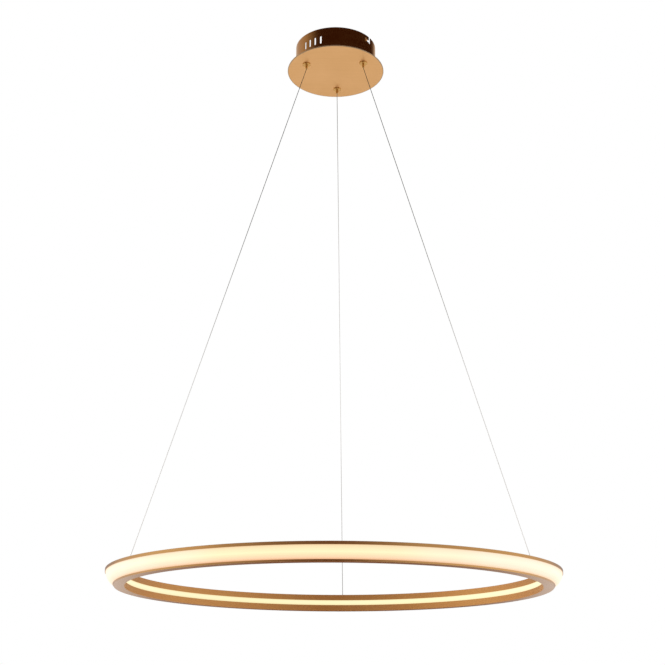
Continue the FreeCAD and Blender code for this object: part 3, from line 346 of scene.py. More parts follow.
# depth is in metres
def bumpOf(tree, shader, height, depth):
    bump = addNode(tree, "ShaderNodeBump", {"Height": height, "Distance": depth, "Strength": 1.0})
    tree.links.new(bump.outputs[0], shader.inputs["Normal"])


twoNoises = (0.7, 1.3)    # most of the sum of two noises lies between these


# A metal: two near shades and a roughness that follow its grain and broad blotches, and fine bump.
# The grain is lines per metre by X, Y and Z, or by radius and height where they run round Z.
def metalOf(name, shades, roughness, grain, blotch, depth, detail=3.0, metallic=1.0):
    material, tree, shader = newMaterial(name, Metallic=metallic)
    lines = roundGrainOf(tree, *grain) if len(grain) == 2 else grainOf(tree, grain, detail)
    broad = grainOf(tree, (blotch, blotch, blotch), detail=2.0)
    both = addNode(tree, "ShaderNodeMath", {0: lines, 1: broad}, operation="ADD").outputs[0]
    dark, light = (linearColour(shade) for shade in shades)
    colour = mixColours(tree, rangeOf(tree, both, 0, 1, *twoNoises), dark, light)
    tree.links.new(colour, shader.inputs["Base Color"])
    tree.links.new(rangeOf(tree, both, *roughness, *twoNoises), shader.inputs["Roughness"])
    bumpOf(tree, shader, lines, depth)
    return material


# Gold-plated steel sheet, brushed straight across: fine parallel lines, a satin shine and no clear
# reflections. The lines are 0.3 mm apart on the real plate, and drawn 1.2 mm apart to show.
brushedPlateGold = metalOf("brushedPlateGold", ("#e3ae70", "#edba7e"), roughness=(0.36, 0.46),
                           grain=(12, 800, 800), blotch=14, depth=0.000010, metallic=0.9)

rimSettings = {"start": 0.0966, "end": 0.0974, "shade": "#b99a76"}


# the pressed rim: the colour changes to a duller, greyer gold between two radii
def dullRim(material, settings):
    tree = material.node_tree
    base = tree.nodes["Principled BSDF"].inputs["Base Color"]
    plain = base.links[0].from_socket
    place = addNode(tree, "ShaderNodeTexCoord").outputs["Object"]
    share = rangeOf(tree, radiusOf(tree, place), 0, 1, settings["start"], settings["end"])
    tree.links.new(mixColours(tree, share, plain, linearColour(settings["shade"])), base)


dullRim(brushedPlateGold, rimSettings)

# The same plating on a rolled strip, polished: it mirrors the room softly, with a slight waviness.
polishedStripGold = metalOf("polishedStripGold", ("#c38f56", "#ca9860"), roughness=(0.13, 0.18),
                            grain=(30, 30, 300), blotch=20, depth=0.000012, detail=2.0)

# Aluminium extrusion, anodised gold. The lips keep the die's close lines, about 0.5 mm apart.
drawnLipGold = metalOf("drawnLipGold", ("#cb965c", "#d5a569"), roughness=(0.18, 0.25),
                       grain=(1800, 1800), blotch=9, depth=0.000006)

# The same metal, brushed along the inner wall before anodising: coarser lines and a broad shine.
brushedWallGold = metalOf("brushedWallGold", ("#d69756", "#e1a764"), roughness=(0.36, 0.46),
                          grain=(1500, 1500), blotch=9, depth=0.000010, metallic=0.7)

# Turned brass, gilt: a warm yellow with the tool's rings round it, 0.25 mm apart.
turnedBrassGold = metalOf("turnedBrassGold", ("#d09a4a", "#e2b265"), roughness=(0.20, 0.30),
                          grain=(60, 60, 4000), blotch=200, depth=0.000010, detail=2.0,
                          metallic=0.6)

# Nickel-plated brass: warm grey, bright, with the marks of tumbling, 1.4 mm across.
nickelBrass = metalOf("nickelBrass", ("#b5ac9c", "#cbc3b4"), roughness=(0.22, 0.34),
                      grain=(700, 700, 700), blotch=150, depth=0.000008)

# Zinc-plated steel: cool grey with cloudy patches a few millimetres across.
zincSteel = metalOf("zincSteel", ("#9aa0a5", "#b9bec2"), roughness=(0.30, 0.46),
                    grain=(500, 500, 500), blotch=120, depth=0.000012)

# Hardened steel for balls and springs: darker, ground to a close finish.
bearingSteel = metalOf("bearingSteel", ("#8b8d90", "#a3a5a8"), roughness=(0.12, 0.22),
                       grain=(900, 900, 900), blotch=300, depth=0.000004)


# Lit opal acrylic, a real lamp. Its glow changes with the share of the height, darker at the edges
# as painted shade, and at the tips it gives way to a paler glow, a painted reflection of the bright
# room, by a share that goes across from the left tip to the right.
def opalOf(settings):
    material, tree, shader = newMaterial(settings["name"], Roughness=settings["gloss"], IOR=1.49,
                                         Emission_Strength=settings["strength"])
    shader.inputs["Base Color"].default_value = linearColour(settings["body"])
    place = addNode(tree, "ShaderNodeTexCoord").outputs["Object"]
    apart = addNode(tree, "ShaderNodeSeparateXYZ", {0: place}).outputs
    share = rangeOf(tree, apart[2], 0, 1, settings["lowZ"], settings["highZ"])
    aside = rangeOf(tree, apart[0], 0, 1, -settings["tip"], settings["tip"])
    glow = rampOf(tree, share, settings["glow"])
    # painted reflection: a paler glow for the tips, and its share across the ring, times the cloud
    glowWithPaintedSheen = rampOf(tree, share, settings["glowWithPaintedSheen"])
    pale = rampOf(tree, aside, settings["paintedSheenShare"])
    cloud = rangeOf(tree, grainOf(tree, settings["cloud"], detail=2.0), 0.9, 1.1)
    sheenAndCloud = addNode(tree, "ShaderNodeMath", {0: pale, 1: cloud}, operation="MULTIPLY").outputs[0]
    tree.links.new(mixColours(tree, sheenAndCloud, glow, glowWithPaintedSheen), shader.inputs["Emission Color"])
    grit = settings["grit"]
    bumpOf(tree, shader, grainOf(tree, (grit, grit, grit), detail=2.0), settings["gritDepth"])
    return material


# tip is how far the ring's left and right tips are from its middle; cloud and grit are in a metre
opalSettings = {"strength": 0.86, "tip": 0.4, "cloud": (16, 16, 90), "grit": 2500,
                "gritDepth": 0.000006}

# Extruded opal acrylic, lit from behind: even and matt, cream in the middle and peach at its edges,
# which is painted shade for where it is thicker to look through and the lips shade it. Its tips
# glow paler as a painted reflection of the bright room.
opalBand = opalOf(opalSettings | {
    "name": "opalBand", "body": "#8f8b80", "gloss": 0.42, "lowZ": -1.1012, "highZ": -1.0812,
    "glow": ((0.0, "#dfa376"), (0.06, "#f2bf94"), (0.14, "#f9cda0"), (0.24, "#fcdbaa"),
             (0.36, "#fdebb6"), (0.50, "#fff9c2"), (0.66, "#fdf0ba"), (0.80, "#fde6b2"),
             (0.93, "#f9dba9"), (1.0, "#f0c998")),
    "glowWithPaintedSheen": ((0.0, "#f2ceaa"), (0.10, "#f9dfc0"), (0.24, "#fdebd0"), (0.42, "#fef6dc"),
                 (0.60, "#fefae2"), (0.78, "#fef5dc"), (0.92, "#fdedd4"), (1.0, "#f5dcbd")),
    # painted reflection: how much of the paler glow each part takes, high at both tips
    "paintedSheenShare": ((0.0, 0.9), (0.10, 0.8), (0.20, 0.5), (0.30, 0.05), (0.38, 0.0), (0.5, 0.0),
                  (0.6, 0.1), (0.7, 0.5), (0.82, 0.9), (1.0, 0.9)),
})
# the stripe's glow is darker at its top and bottom edges, painted shade, and paler toward the tips,
# a painted reflection
opalStripe = opalOf(opalSettings | {
    "name": "opalStripe", "body": "#8f8b7c", "gloss": 0.45, "lowZ": -1.0922, "highZ": -1.0824,
    "glow": ((0.0, "#f3e0a6"), (0.25, "#fdf3ba"), (0.6, "#fdf6c0"), (0.8, "#fdf3ba"),
             (1.0, "#f3e0a6")),
    "glowWithPaintedSheen": ((0.0, "#f6e6b8"), (0.25, "#fff6cc"), (0.6, "#fffbd8"), (0.8, "#fff6cc"),
                 (1.0, "#f6e6b8")),
    "paintedSheenShare": ((0.0, 0.5), (0.3, 0.1), (0.7, 0.1), (1.0, 0.5)),
})


# A moulded or extruded plastic: near-even colour with a faint cloud, and the mould's fine texture.
# Grit and blotch are how many lie in a metre.
def plasticOf(name, shades, gloss, grit, depth=0.00001, blotch=40, spread=0.05):
    material, tree, shader = newMaterial(name)
    fine = grainOf(tree, (grit, grit, grit))
    cloud = grainOf(tree, (blotch, blotch, blotch), detail=2.0)
    dark, light = (linearColour(shade) for shade in shades)
    colour = mixColours(tree, rangeOf(tree, cloud, 0, 1), dark, light)
    tree.links.new(colour, shader.inputs["Base Color"])
    tree.links.new(rangeOf(tree, fine, gloss - spread, gloss + spread), shader.inputs["Roughness"])
    bumpOf(tree, shader, fine, depth)
    return material


# Polycarbonate, injection moulded with a spark-eroded texture of about 0.4 mm.
casePlastic = plasticOf("casePolycarbonate", ("#cfcfca", "#d8d8d3"), 0.5, 2400, depth=0.00002)
# Unfilled nylon: translucent, milky, with a waxy shine.
blockNylon = plasticOf("blockNylon", ("#d6d0bd", "#ded9c8"), 0.38, 900)
# Epoxy glass board under green solder mask: the weave shows through as a 0.6 mm mottle.
boardEpoxy = plasticOf("boardEpoxy", ("#1d5233", "#2b6b45"), 0.35, 1600, blotch=900)
# Moulded epoxy and aluminium-can sleeves of the driver's parts.
componentBlack = plasticOf("componentEpoxy", ("#1e1e20", "#2b2b2e"), 0.45, 2000)
# Soft PVC sleeves: brown live, green earth, white low-voltage leads, grey crimped splices.
leadBrown = plasticOf("leadBrownPvc", ("#5b3520", "#6c412a"), 0.4, 1200)
leadGreen = plasticOf("leadGreenPvc", ("#3f7d33", "#7c9a32"), 0.4, 1200, blotch=260)
leadWhite = plasticOf("leadWhitePvc", ("#cfccc4", "#dad8d0"), 0.4, 1200)
spliceGrey = plasticOf("spliceGreyNylon", ("#84868a", "#96989c"), 0.45, 1500)
# White solder mask over the LED strip's aluminium core.
tapeMask = plasticOf("tapeSolderMask", ("#cfccc0", "#dbd9ce"), 0.45, 1800)
# Silicone with phosphor, over each LED chip.
phosphorCap = plasticOf("phosphorSilicone", ("#d3a429", "#e0b53c"), 0.35, 2200)


wireSettings = {
    "diameter": 0.0012, "length": 1.0556,
    "topRadius": 0.0666, "topZ": -0.0655,
    "footRadius": 0.3772, "footZ": -1.0744,
    "nearEnd": 0.0072,        # six diameters, straight out of the gripper and into the ring
    "raised": 0.6,            # how far the ring goes up
    "roundSteps": 4,
    "strand": "#8a8984", "strandShare": 0.12, "roughness": (0.30, 0.40),
    "layPerMetre": 1500, "layDepth": 0.00001,
}


# Stranded steel wire in a thin clear sleeve. Its colour is painted light and shade: dark grey at
# the canopy and paler on the way down, with a painted glow in its emission for the ring's light on
# the lower wire. The noise is the strands' lay, about 0.7 mm.
def makeWireSleeve(name, shades, glow, settings):
    material, tree, shader = newMaterial(name, Specular_IOR_Level=0.3, Emission_Strength=1.0)
    place = addNode(tree, "ShaderNodeTexCoord").outputs["Object"]
    height = addNode(tree, "ShaderNodeSeparateXYZ", {0: place}).outputs[2]
    drop = rangeOf(tree, height, 0, 1, settings["topZ"], settings["footZ"])
    perMetre = settings["layPerMetre"]
    lay = grainOf(tree, (perMetre, perMetre, perMetre))
    strands = rangeOf(tree, lay, 0, settings["strandShare"])
    colour = mixColours(tree, strands, rampOf(tree, drop, shades), linearColour(settings["strand"]))
    tree.links.new(colour, shader.inputs["Base Color"])
    tree.links.new(rangeOf(tree, lay, *settings["roughness"]), shader.inputs["Roughness"])
    tree.links.new(rampOf(tree, drop, glow), shader.inputs["Emission Color"])
    bumpOf(tree, shader, lay, settings["layDepth"])
    return material


# painted shade at the top of the near wires, painted light and a painted glow lower down
wireSleeve = makeWireSleeve(
    "wireSleeve",
    ((0.0, "#2b2a28"), (0.15, "#31302e"), (0.35, "#5d5c59"), (0.5, "#93918e"), (0.7, "#cfcdca"),
     (1.0, "#e4e2de")),
    ((0.0, 0.0), (0.25, 0.0), (0.4, 0.05), (0.55, 0.13), (0.7, 0.18), (1.0, 0.20)), wireSettings)
# the far wire, with lighter painted light: pale nearly all the way and greyer over its last stretch
# to the ring, and a painted glow in its emission too
farWireSleeve = makeWireSleeve(
    "farWireSleeve",
    ((0.0, "#8a8884"), (0.15, "#a6a4a0"), (0.35, "#cccac7"), (0.6, "#e4e2de"), (0.8, "#c4c2bf"),
     (1.0, "#9a9895")),
    ((0.0, 0.04), (0.2, 0.12), (0.4, 0.17), (0.65, 0.20), (0.85, 0.12), (1.0, 0.06)), wireSettings)
print("stage: materials")


def sleeveOf(side):
    return farWireSleeve if side == "far" else wireSleeve


def makeWire(side, settings):
    across, aside = polar(1, sides[side])
    topRadius, footRadius = settings["topRadius"], settings["footRadius"]
    top = Vector((topRadius * across, topRadius * aside, settings["topZ"]))
    foot = Vector((footRadius * across, footRadius * aside, settings["footZ"]))
    along = (foot - top).normalized() * settings["nearEnd"]
    curve = bpy.data.curves.new("wirePath", "CURVE")
    curve.dimensions = "3D"
    line = curve.splines.new("NURBS")
    route = (top, top + along, foot - along, foot)
    line.points.add(len(route) - 1)
    for point, place in zip(line.points, route):
        point.co = (*place, 1)
    line.order_u = 3
    line.use_endpoint_u = True
    wire = bpy.data.objects.new("wire" + side.capitalize(), curve)
    bpy.context.scene.collection.objects.link(wire)
    bpy.context.view_layer.update()
    bare = bpy.data.meshes.new_from_object(wire)
    bpy.data.meshes.remove(bare)
    curve.bevel_depth = settings["diameter"] / 2
    curve.bevel_resolution = settings["roundSteps"]
    curve.use_fill_caps = True
    workOn(wire)
    bpy.ops.object.convert(target="MESH")
    wire = bpy.context.active_object
    editWhole(wire)
    bpy.ops.mesh.remove_doubles(threshold=meshSettings["merge"])
    pointOutwards()
    smooth(wire, meshSettings["roundBelow"])
    fit(wire, sleeveOf(side), "canopy", "wire_" + side)
    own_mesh(wire)


for side in sides:
    makeWire(side, wireSettings)
print("stage: wires")


# the section is drawn with its shelf, the flat that the wires come up through, at height 0
ringSettings = {
    "shelfZ": -1.0765, "topRadius": 0.400, "innerRadius": 0.3655,
    "height": 0.027, "lean": 0.016, "upstand": 0.005, "wall": 0.002,
    "upperLip": 0.005, "lowerLip": 0.0026, "lipThick": 0.0012, "footLipThick": 0.0014,
    "webIn": 0.3704, "webOut": 0.3716, "finIn": 0.380, "finOut": 0.381, "finRise": 0.0014,
    "stripeTop": -0.0059, "stripeBottom": -0.0157, "stripeEdge": 0.0003,
    "diffuserThick": 0.0018, "bulge": 0.0034, "tuck": 0.0004, "gap": 0.0001,
    "stripeThick": 0.0016, "stripeFlange": 0.0018, "stripeFlangeThick": 0.0012,
    "softEdge": 0.00035, "closeEdge": 0.00015, "steps": 256,
    "holeRadius": 0.0031, "holeDepth": 0.008, "holeMiddle": 0.001,   # the middle is below the shelf
    "bulgeSteps": 24, "bandSmoothBelow": 20,
}
ring = ringSettings
slantDrop = ring["height"] - ring["upperLip"]   # below the upright lip
slantLength = math.hypot(ring["lean"], slantDrop)
slantIn, slantDown = ring["lean"] / slantLength, slantDrop / slantLength


# a point by the way down the slant from the upright lip, and the way in behind the slant
def slantPoint(along, behind):
    return (ring["topRadius"] - along * slantIn - behind * slantDown,
            behind * slantIn - along * slantDown - ring["upperLip"])


# the way down the slant at which a point, that far behind it, is at height z
def slantAlong(z, behind):
    return (behind * slantIn - ring["upperLip"] - z) / slantDown


def lowered(points):
    return [(across, up + ring["shelfZ"]) for across, up in points]


# points on a shallow arc from start to end, which rises to one side of the straight line
def bulgedPoints(start, end, rise, count):
    start, end = Vector(start), Vector(end)
    chord = end - start
    out = Vector((-chord.y, chord.x)).normalized()
    half = chord.length / 2
    radius = (half * half + rise * rise) / (2 * rise)
    middle = start + chord / 2 + out * (rise - radius)
    reach = math.asin(half / radius)
    points = []
    for number in range(1, count):
        angle = -reach + 2 * reach * number / count
        spot = (middle + out * radius * math.cos(angle)
                + chord.normalized() * radius * math.sin(angle))
        points.append((spot.x, spot.y))
    return points


def makeRingProfile():
    inner, wall, foot = ring["innerRadius"], ring["wall"], -ring["height"]
    back, floor = inner + wall, foot + wall
    footTop = foot + ring["lowerLip"]
    footOut = slantPoint(slantAlong(footTop, 0), 0)
    lipIn = ring["topRadius"] - ring["lipThick"]
    points = [
        (inner, ring["upstand"]), (back, ring["upstand"]), (back, 0), (ring["topRadius"], 0),
        (ring["topRadius"], -ring["upperLip"]), (lipIn, -ring["upperLip"]), (lipIn, -wall),
        (ring["webOut"], -wall), (ring["webOut"], floor), (ring["finIn"], floor),
        (ring["finIn"], floor + ring["finRise"]), (ring["finOut"], floor + ring["finRise"]),
        (ring["finOut"], floor), (footOut[0] - ring["footLipThick"], floor),
        (footOut[0] - ring["footLipThick"], footTop), footOut,
        (ring["topRadius"] - ring["lean"], foot), (inner, foot),
        (inner, ring["stripeBottom"]), (back, ring["stripeBottom"]), (back, floor),
        (ring["webIn"], floor), (ring["webIn"], -wall), (back, -wall),
        (back, ring["stripeTop"]), (inner, ring["stripeTop"]),
    ]
    rounds = ((ring["softEdge"], 3, (0, 1, 4, 5, 14, 15, 17, 18, 25)),
              (ring["closeEdge"], 2, (2, 3, 16, 19, 24)))
    profile = spinRound(drawOutline("ringProfile", lowered(points), rounds), ring["steps"])
    cutWith(profile, [makeBar(ring["holeRadius"], ring["holeDepth"],
                              (*polar(wireSettings["footRadius"], angle),
                               ring["shelfZ"] - ring["holeMiddle"]))
                      for angle in sides.values()])
    smooth(profile)
    fit(profile, drawnLipGold, "ring", "ring_profile")
    profile.data.materials.append(brushedWallGold)
    for face in profile.data.polygons:
        middle = Vector(face.center)
        onWall = middle.xy.length < inner + ring["softEdge"] and middle.z > ring["shelfZ"] + foot
        face.material_index = int(onWall)


def makeOuterDiffuser():
    behind = ring["lipThick"] + ring["gap"]
    back = behind + ring["diffuserThick"]
    footBehind = behind + ring["tuck"]
    topZ = -ring["wall"] - ring["gap"]
    bottomZ = -ring["height"] + ring["wall"] + ring["gap"]
    faceEnd = slantLength - ring["lowerLip"] / slantDown - ring["gap"]
    faceTop = (ring["topRadius"] - behind, -ring["upperLip"])
    faceFoot = slantPoint(faceEnd, footBehind)
    backTop = (ring["topRadius"] - back, -ring["upperLip"])
    backFoot = slantPoint(faceEnd - ring["diffuserThick"] / 2, back)
    halfFace, halfBack = math.dist(faceTop, faceFoot) / 2, math.dist(backTop, backFoot) / 2
    faceRadius = (halfFace ** 2 + ring["bulge"] ** 2) / (2 * ring["bulge"])
    backRadius = faceRadius - ring["diffuserThick"]
    backBulge = backRadius - math.sqrt(backRadius ** 2 - halfBack ** 2)
    steps = ring["bulgeSteps"]
    points = [
        (faceTop[0], topZ), faceTop, *bulgedPoints(faceTop, faceFoot, ring["bulge"], steps),
        faceFoot, slantPoint(slantAlong(bottomZ, footBehind), footBehind),
        slantPoint(slantAlong(bottomZ, back), back), backFoot,
        *bulgedPoints(backTop, backFoot, backBulge, steps // 2)[::-1], backTop, (backTop[0], topZ),
    ]
    band = spinRound(drawOutline("opalBand", lowered(points)), ring["steps"])
    smooth(band, ring["bandSmoothBelow"])
    fit(band, opalBand, "ring", "outer_diffuser")


def makeInnerDiffuser():
    face = ring["innerRadius"] + ring["wall"] - ring["stripeThick"]
    back = ring["innerRadius"] + ring["wall"] + ring["gap"]
    low, high, gap = ring["stripeBottom"], ring["stripeTop"], ring["gap"]
    flange, deep = ring["stripeFlange"], back + ring["stripeFlangeThick"]
    points = [
        (face, low + gap), (back, low + gap), (back, low - flange), (deep, low - flange),
        (deep, high + flange), (back, high + flange), (back, high - gap), (face, high - gap),
    ]
    outline = drawOutline("opalStripe", lowered(points), ((ring["stripeEdge"], 3, (0, 7)),))
    fit(spinRound(outline, ring["steps"]), opalStripe, "ring", "inner_diffuser")


# a thread's outline down a barrel's side: V grooves, with a narrow land between each two
def threadPoints(radius, top, bottom, pitch, depth, land=0.15):
    points = []
    for number in range(int((top - bottom) / pitch)):
        crest = top - pitch * number
        points += [(radius, crest - pitch * land), (radius - depth, crest - pitch * 0.5),
                   (radius, crest - pitch * (1 - land))]
    return points


bushSettings = {
    "flangeRadius": 0.0045, "flangeThick": 0.0015, "chamfer": 0.0005, "edge": 0.00015,
    "barrelRadius": 0.003, "barrelLength": 0.007, "boreRadius": 0.0009, "steps": 48,
    "threadTop": -0.002, "threadEnd": 0.0003, "thread": 0.0005, "threadDepth": 0.00025,
}


def makeBushings(settings):
    base = ring["shelfZ"]
    top, outer, barrel = settings["flangeThick"], settings["flangeRadius"], settings["barrelRadius"]
    bore, foot = settings["boreRadius"], -settings["barrelLength"]
    points = [
        (bore, foot), (bore, top), (outer - settings["chamfer"], top),
        (outer, top - settings["chamfer"]), (outer, 0), (barrel, 0),
        *threadPoints(barrel, settings["threadTop"], foot + settings["threadEnd"],
                      settings["thread"], settings["threadDepth"]),
        (barrel, foot),
    ]
    rounds = ((settings["edge"], 2, (1, 2, 3, 4)),)
    outline = drawOutline("bushings", [(r, z + base) for r, z in points], rounds)
    first = spinRound(outline, settings["steps"])
    bushes = []
    for side, angle in sides.items():
        bush = copyPiece(first, "bush" + side.capitalize())
        movePiece(bush, (*polar(wireSettings["footRadius"], angle), 0))
        bushes.append(bush)
    bpy.data.objects.remove(first, do_unlink=True)
    bushings = joinPieces(bushes, "anchorBushings")
    fit(bushings, turnedBrassGold, "ring", "anchor_bushings")


makeRingProfile()
makeOuterDiffuser()
makeInnerDiffuser()
makeBushings(bushSettings)
print("stage: ring")


plateSettings = {
    "radius": 0.0985, "top": -0.0525, "bottom": -0.0545, "edge": 0.0006, "steps": 192,
    "holeRadius": 0.0051, "holeDepth": 0.006, "holeCorners": 48,
}


def makePlate(settings):
    points = [(0, settings["top"]), (settings["radius"], settings["top"]),
              (settings["radius"], settings["bottom"]), (0, settings["bottom"])]
    plate = drawOutline("coverPlate", points, ((settings["edge"], 4, (1, 2)),))
    spinRound(plate, settings["steps"])
    cutWith(plate, [makeBar(settings["holeRadius"], settings["holeDepth"],
                            (*polar(wireSettings["topRadius"], angle), settings["top"]),
                            settings["holeCorners"]) for angle in sides.values()])
    smooth(plate)
    fit(plate, brushedPlateGold, "canopy", "canopy_plate")


drumSettings = {
    "radius": 0.082, "wall": 0.001, "rim": -0.0005, "foot": -0.0525, "rimEdge": 0.00022,
    "steps": 192,
    "slotAngles": (-138.05, -129.25, -120.45, -111.65), "slotZ": -0.0265,
    "slotWidth": 0.0036, "slotHeight": 0.017, "slotCorners": 30,
    "notchAngle": -33, "notchWidth": 0.005, "notchFloor": -0.0155, "notchTop": 0.002,
    "notchRound": 0.98,       # its closed ends are nearly half round: this share of half its width
    "notchEdge": 0.0004, "seatZ": -0.011, "seatTurn": 8.6,
    "cutFrom": 0.070, "cutReach": 0.020,      # each cutter starts inside the drum and goes out
    "tabAngles": (27.1, 147.1, 267.1), "tabInner": 0.069, "tabWidth": 0.014,
    "tabHoleAt": 0.075, "tabHoleRadius": 0.0023, "tabHoleDepth": 0.01,
}


def makeSlotCutter(settings, angle):
    deselectAll()
    half = settings["slotWidth"] / 2
    rise = settings["slotHeight"] / 2 - half
    bpy.ops.mesh.primitive_circle_add(
        vertices=settings["slotCorners"], radius=half, fill_type="NGON",
        location=(0, -settings["cutFrom"], settings["slotZ"]), rotation=(math.pi / 2, 0, 0))
    cutter = bpy.context.active_object
    applyPlace(cutter)
    for end in (1, -1):
        pickVertices(cutter, lambda at: (at.z - settings["slotZ"]) * end > 0)
        bpy.ops.transform.translate(value=(0, 0, rise * end))
    extrudeBy(cutter, (0, -settings["cutReach"], 0))
    turnPiece(cutter, angle + 90)
    return cutter


# an L: down from the rim, then along to the seat where the canopy rests on its side screw
def makeNotchCutter(settings, angle):
    half = settings["notchWidth"] / 2
    reach = -settings["radius"] * math.sin(math.radians(settings["seatTurn"]))
    low, seat, top = settings["notchFloor"], settings["seatZ"], settings["notchTop"]
    points = [(half, top), (half, low), (-half, low), (-half, seat - half),
              (reach - half, seat - half), (reach - half, seat + half), (-half, seat + half),
              (-half, top)]
    rounds = ((half * settings["notchRound"], 8, (1, 2, 4, 5)),
              (settings["notchEdge"], 2, (3, 6)))
    cutter = drawOutline("notchCutter", points, rounds)
    extrudeBy(cutter, (0, -settings["cutReach"], 0))
    movePiece(cutter, (0, -settings["cutFrom"], 0))
    turnPiece(cutter, angle + 90)
    return cutter


def makeTab(settings, angle):
    thick, width = settings["wall"], settings["tabWidth"]
    inner, outer = settings["tabInner"], settings["radius"] - thick / 2
    deselectAll()
    bpy.ops.mesh.primitive_cube_add(
        size=1, location=((inner + outer) / 2, 0, settings["foot"] + thick / 2),
        scale=(outer - inner, width, thick))
    tab = bpy.context.active_object
    applyPlace(tab)
    cutWith(tab, [makeBar(settings["tabHoleRadius"], settings["tabHoleDepth"],
                          (settings["tabHoleAt"], 0, settings["foot"]))])
    turnPiece(tab, angle)
    return tab


def makeDrum(settings):
    outer, inner = settings["radius"], settings["radius"] - settings["wall"]
    points = [(inner, settings["foot"]), (outer, settings["foot"]), (outer, settings["rim"]),
              (inner, settings["rim"])]
    drum = drawOutline("canopyDrum", points, ((settings["rimEdge"], 3, (2, 3)),))
    spinRound(drum, settings["steps"])
    cutWith(drum, [makeTab(settings, angle) for angle in settings["tabAngles"]], "UNION")
    cutters = [makeSlotCutter(settings, angle) for angle in settings["slotAngles"]]
    for turn in (0, 180):
        cutters.append(makeNotchCutter(settings, settings["notchAngle"] + turn))
    cutWith(drum, cutters)
    smooth(drum)
    fit(drum, polishedStripGold, "canopy", "canopy_drum")


makePlate(plateSettings)
makeDrum(drumSettings)
print("stage: canopy")


screwSettings = {
    "angle": -41.6, "z": -0.011, "steps": 48,
    "headRadius": 0.0035, "headStart": 0.0823, "dome": 0.0022, "domeSteps": 8,
    "shankRadius": 0.002, "shankStart": 0.0768,
    "threadTop": 0.0009, "threadEnd": 0.0001, "thread": 0.0007, "threadDepth": 0.0003,
    "crossWidth": 0.0009, "crossReach": 0.0019, "crossDepth": 0.0012,
}


# modelled upright with its head up, then laid down to point away from the canopy
def makeScrews(settings):
    head, start = settings["headRadius"], settings["headStart"]
    shank, shankStart = settings["shankRadius"], settings["shankStart"]
    crown, steps = start + settings["dome"], settings["domeSteps"]
    radius = (head * head + settings["dome"] ** 2) / (2 * settings["dome"])
    reach = math.asin(head / radius)
    dome = [(radius * math.sin(reach * step / steps),
             crown - radius + radius * math.cos(reach * step / steps)) for step in range(1, steps)]
    thread = threadPoints(shank, start - settings["threadTop"], shankStart + settings["threadEnd"],
                          settings["thread"], settings["threadDepth"])
    points = [(0, shankStart), (shank, shankStart), *thread[::-1],
              (shank, start), (head, start), *dome[::-1], (0, crown)]
    screw = spinRound(drawOutline("sideScrews", points), settings["steps"])
    cutters = []
    for turn in (0, 90):
        deselectAll()
        bpy.ops.mesh.primitive_cube_add(
            size=1, location=(0, 0, crown),
            scale=(settings["crossReach"] * 2, settings["crossWidth"], settings["crossDepth"] * 2))
        cutters.append(bpy.context.active_object)
        applyPlace(cutters[-1])
        turnPiece(cutters[-1], turn)
    cutWith(screw, cutters)
    turnPiece(screw, 90, "Y")
    movePiece(screw, (0, 0, settings["z"]))
    twin = copyPiece(screw, "sideScrewBack")
    turnPiece(screw, settings["angle"])
    turnPiece(twin, settings["angle"] + 180)
    screws = joinPieces([screw, twin], "sideScrews")
    fit(screws, polishedStripGold, "ceiling", "side_screws")


makeScrews(screwSettings)
print("stage: screws")


# heights count from the cover plate's underside
gripSettings = {
    "plateBottom": -0.0545, "flangeRadius": 0.008, "flangeThick": 0.0022, "chamfer": 0.0008,
    "edge": 0.0002, "bodySteps": 72, "plungerSteps": 48,
    "barrelRadius": 0.005, "barrelHeight": 0.020, "barrelTaper": 0.0003,
    "threadStart": 0.0068, "threadTop": 0.0005, "thread": 0.001, "threadDepth": 0.00045,
    "guideRadius": 0.00245, "wireBore": 0.0009,
    "hollowRadius": 0.0033, "hollowFloor": 0.003, "roof": 0.002,
    "nozzleRadius": 0.0024, "nozzleLength": 0.0085, "nozzleChamfer": 0.0006, "plungerTop": 0.0032,
}


def underPlate(points, settings):
    return [(across, up + settings["plateBottom"]) for across, up in points]


def makeGripperBody(settings):
    low, outer = -settings["flangeThick"], settings["flangeRadius"]
    top, barrel = settings["barrelHeight"], settings["barrelRadius"]
    guide, bore = settings["guideRadius"], settings["wireBore"]
    hollow, ledge = settings["hollowRadius"], settings["hollowFloor"]
    ceiling = top - settings["roof"]
    thread = threadPoints(barrel, top - settings["threadTop"], settings["threadStart"],
                          settings["thread"], settings["threadDepth"])
    points = [
        (guide, low), (outer - settings["chamfer"], low), (outer, low + settings["chamfer"]),
        (outer, 0), (barrel, 0), *thread[::-1], (barrel - settings["barrelTaper"], top),
        (bore, top), (bore, ceiling), (hollow, ceiling), (hollow, ledge), (guide, ledge),
    ]
    rounds = ((settings["edge"], 2, (0, 1, 2, 3)),)
    outline = drawOutline("gripperBody", underPlate(points, settings), rounds)
    return spinRound(outline, settings["bodySteps"])


def makeGripperPlunger(settings):
    nozzle, tip = settings["nozzleRadius"], -settings["flangeThick"] - settings["nozzleLength"]
    bore, top = settings["wireBore"], settings["plungerTop"]
    points = [(bore, tip), (nozzle - settings["nozzleChamfer"], tip),
              (nozzle, tip + settings["nozzleChamfer"]), (nozzle, top), (bore, top)]
    rounds = ((settings["edge"], 3, (0, 1, 2)),)
    outline = drawOutline("gripperPlunger", underPlate(points, settings), rounds)
    return spinRound(outline, settings["plungerSteps"])


def makeGrippers(settings):
    models = {"body": makeGripperBody(settings), "plunger": makeGripperPlunger(settings)}
    for side, angle in sides.items():
        for part, model in models.items():
            piece = copyPiece(model, "gripper" + part.capitalize() + side.capitalize())
            movePiece(piece, (*polar(wireSettings["topRadius"], angle), 0))
            smooth(piece)
            owner = "canopy" if part == "body" else "plunger_" + side
            fit(piece, turnedBrassGold, owner, "gripper_%s_%s" % (part, side))
    for model in models.values():
        bpy.data.objects.remove(model, do_unlink=True)


springSettings = {"wire": 0.0004, "wireCorners": 12, "turns": 3.5, "stepsPerTurn": 40,
                  "travel": 0.002}
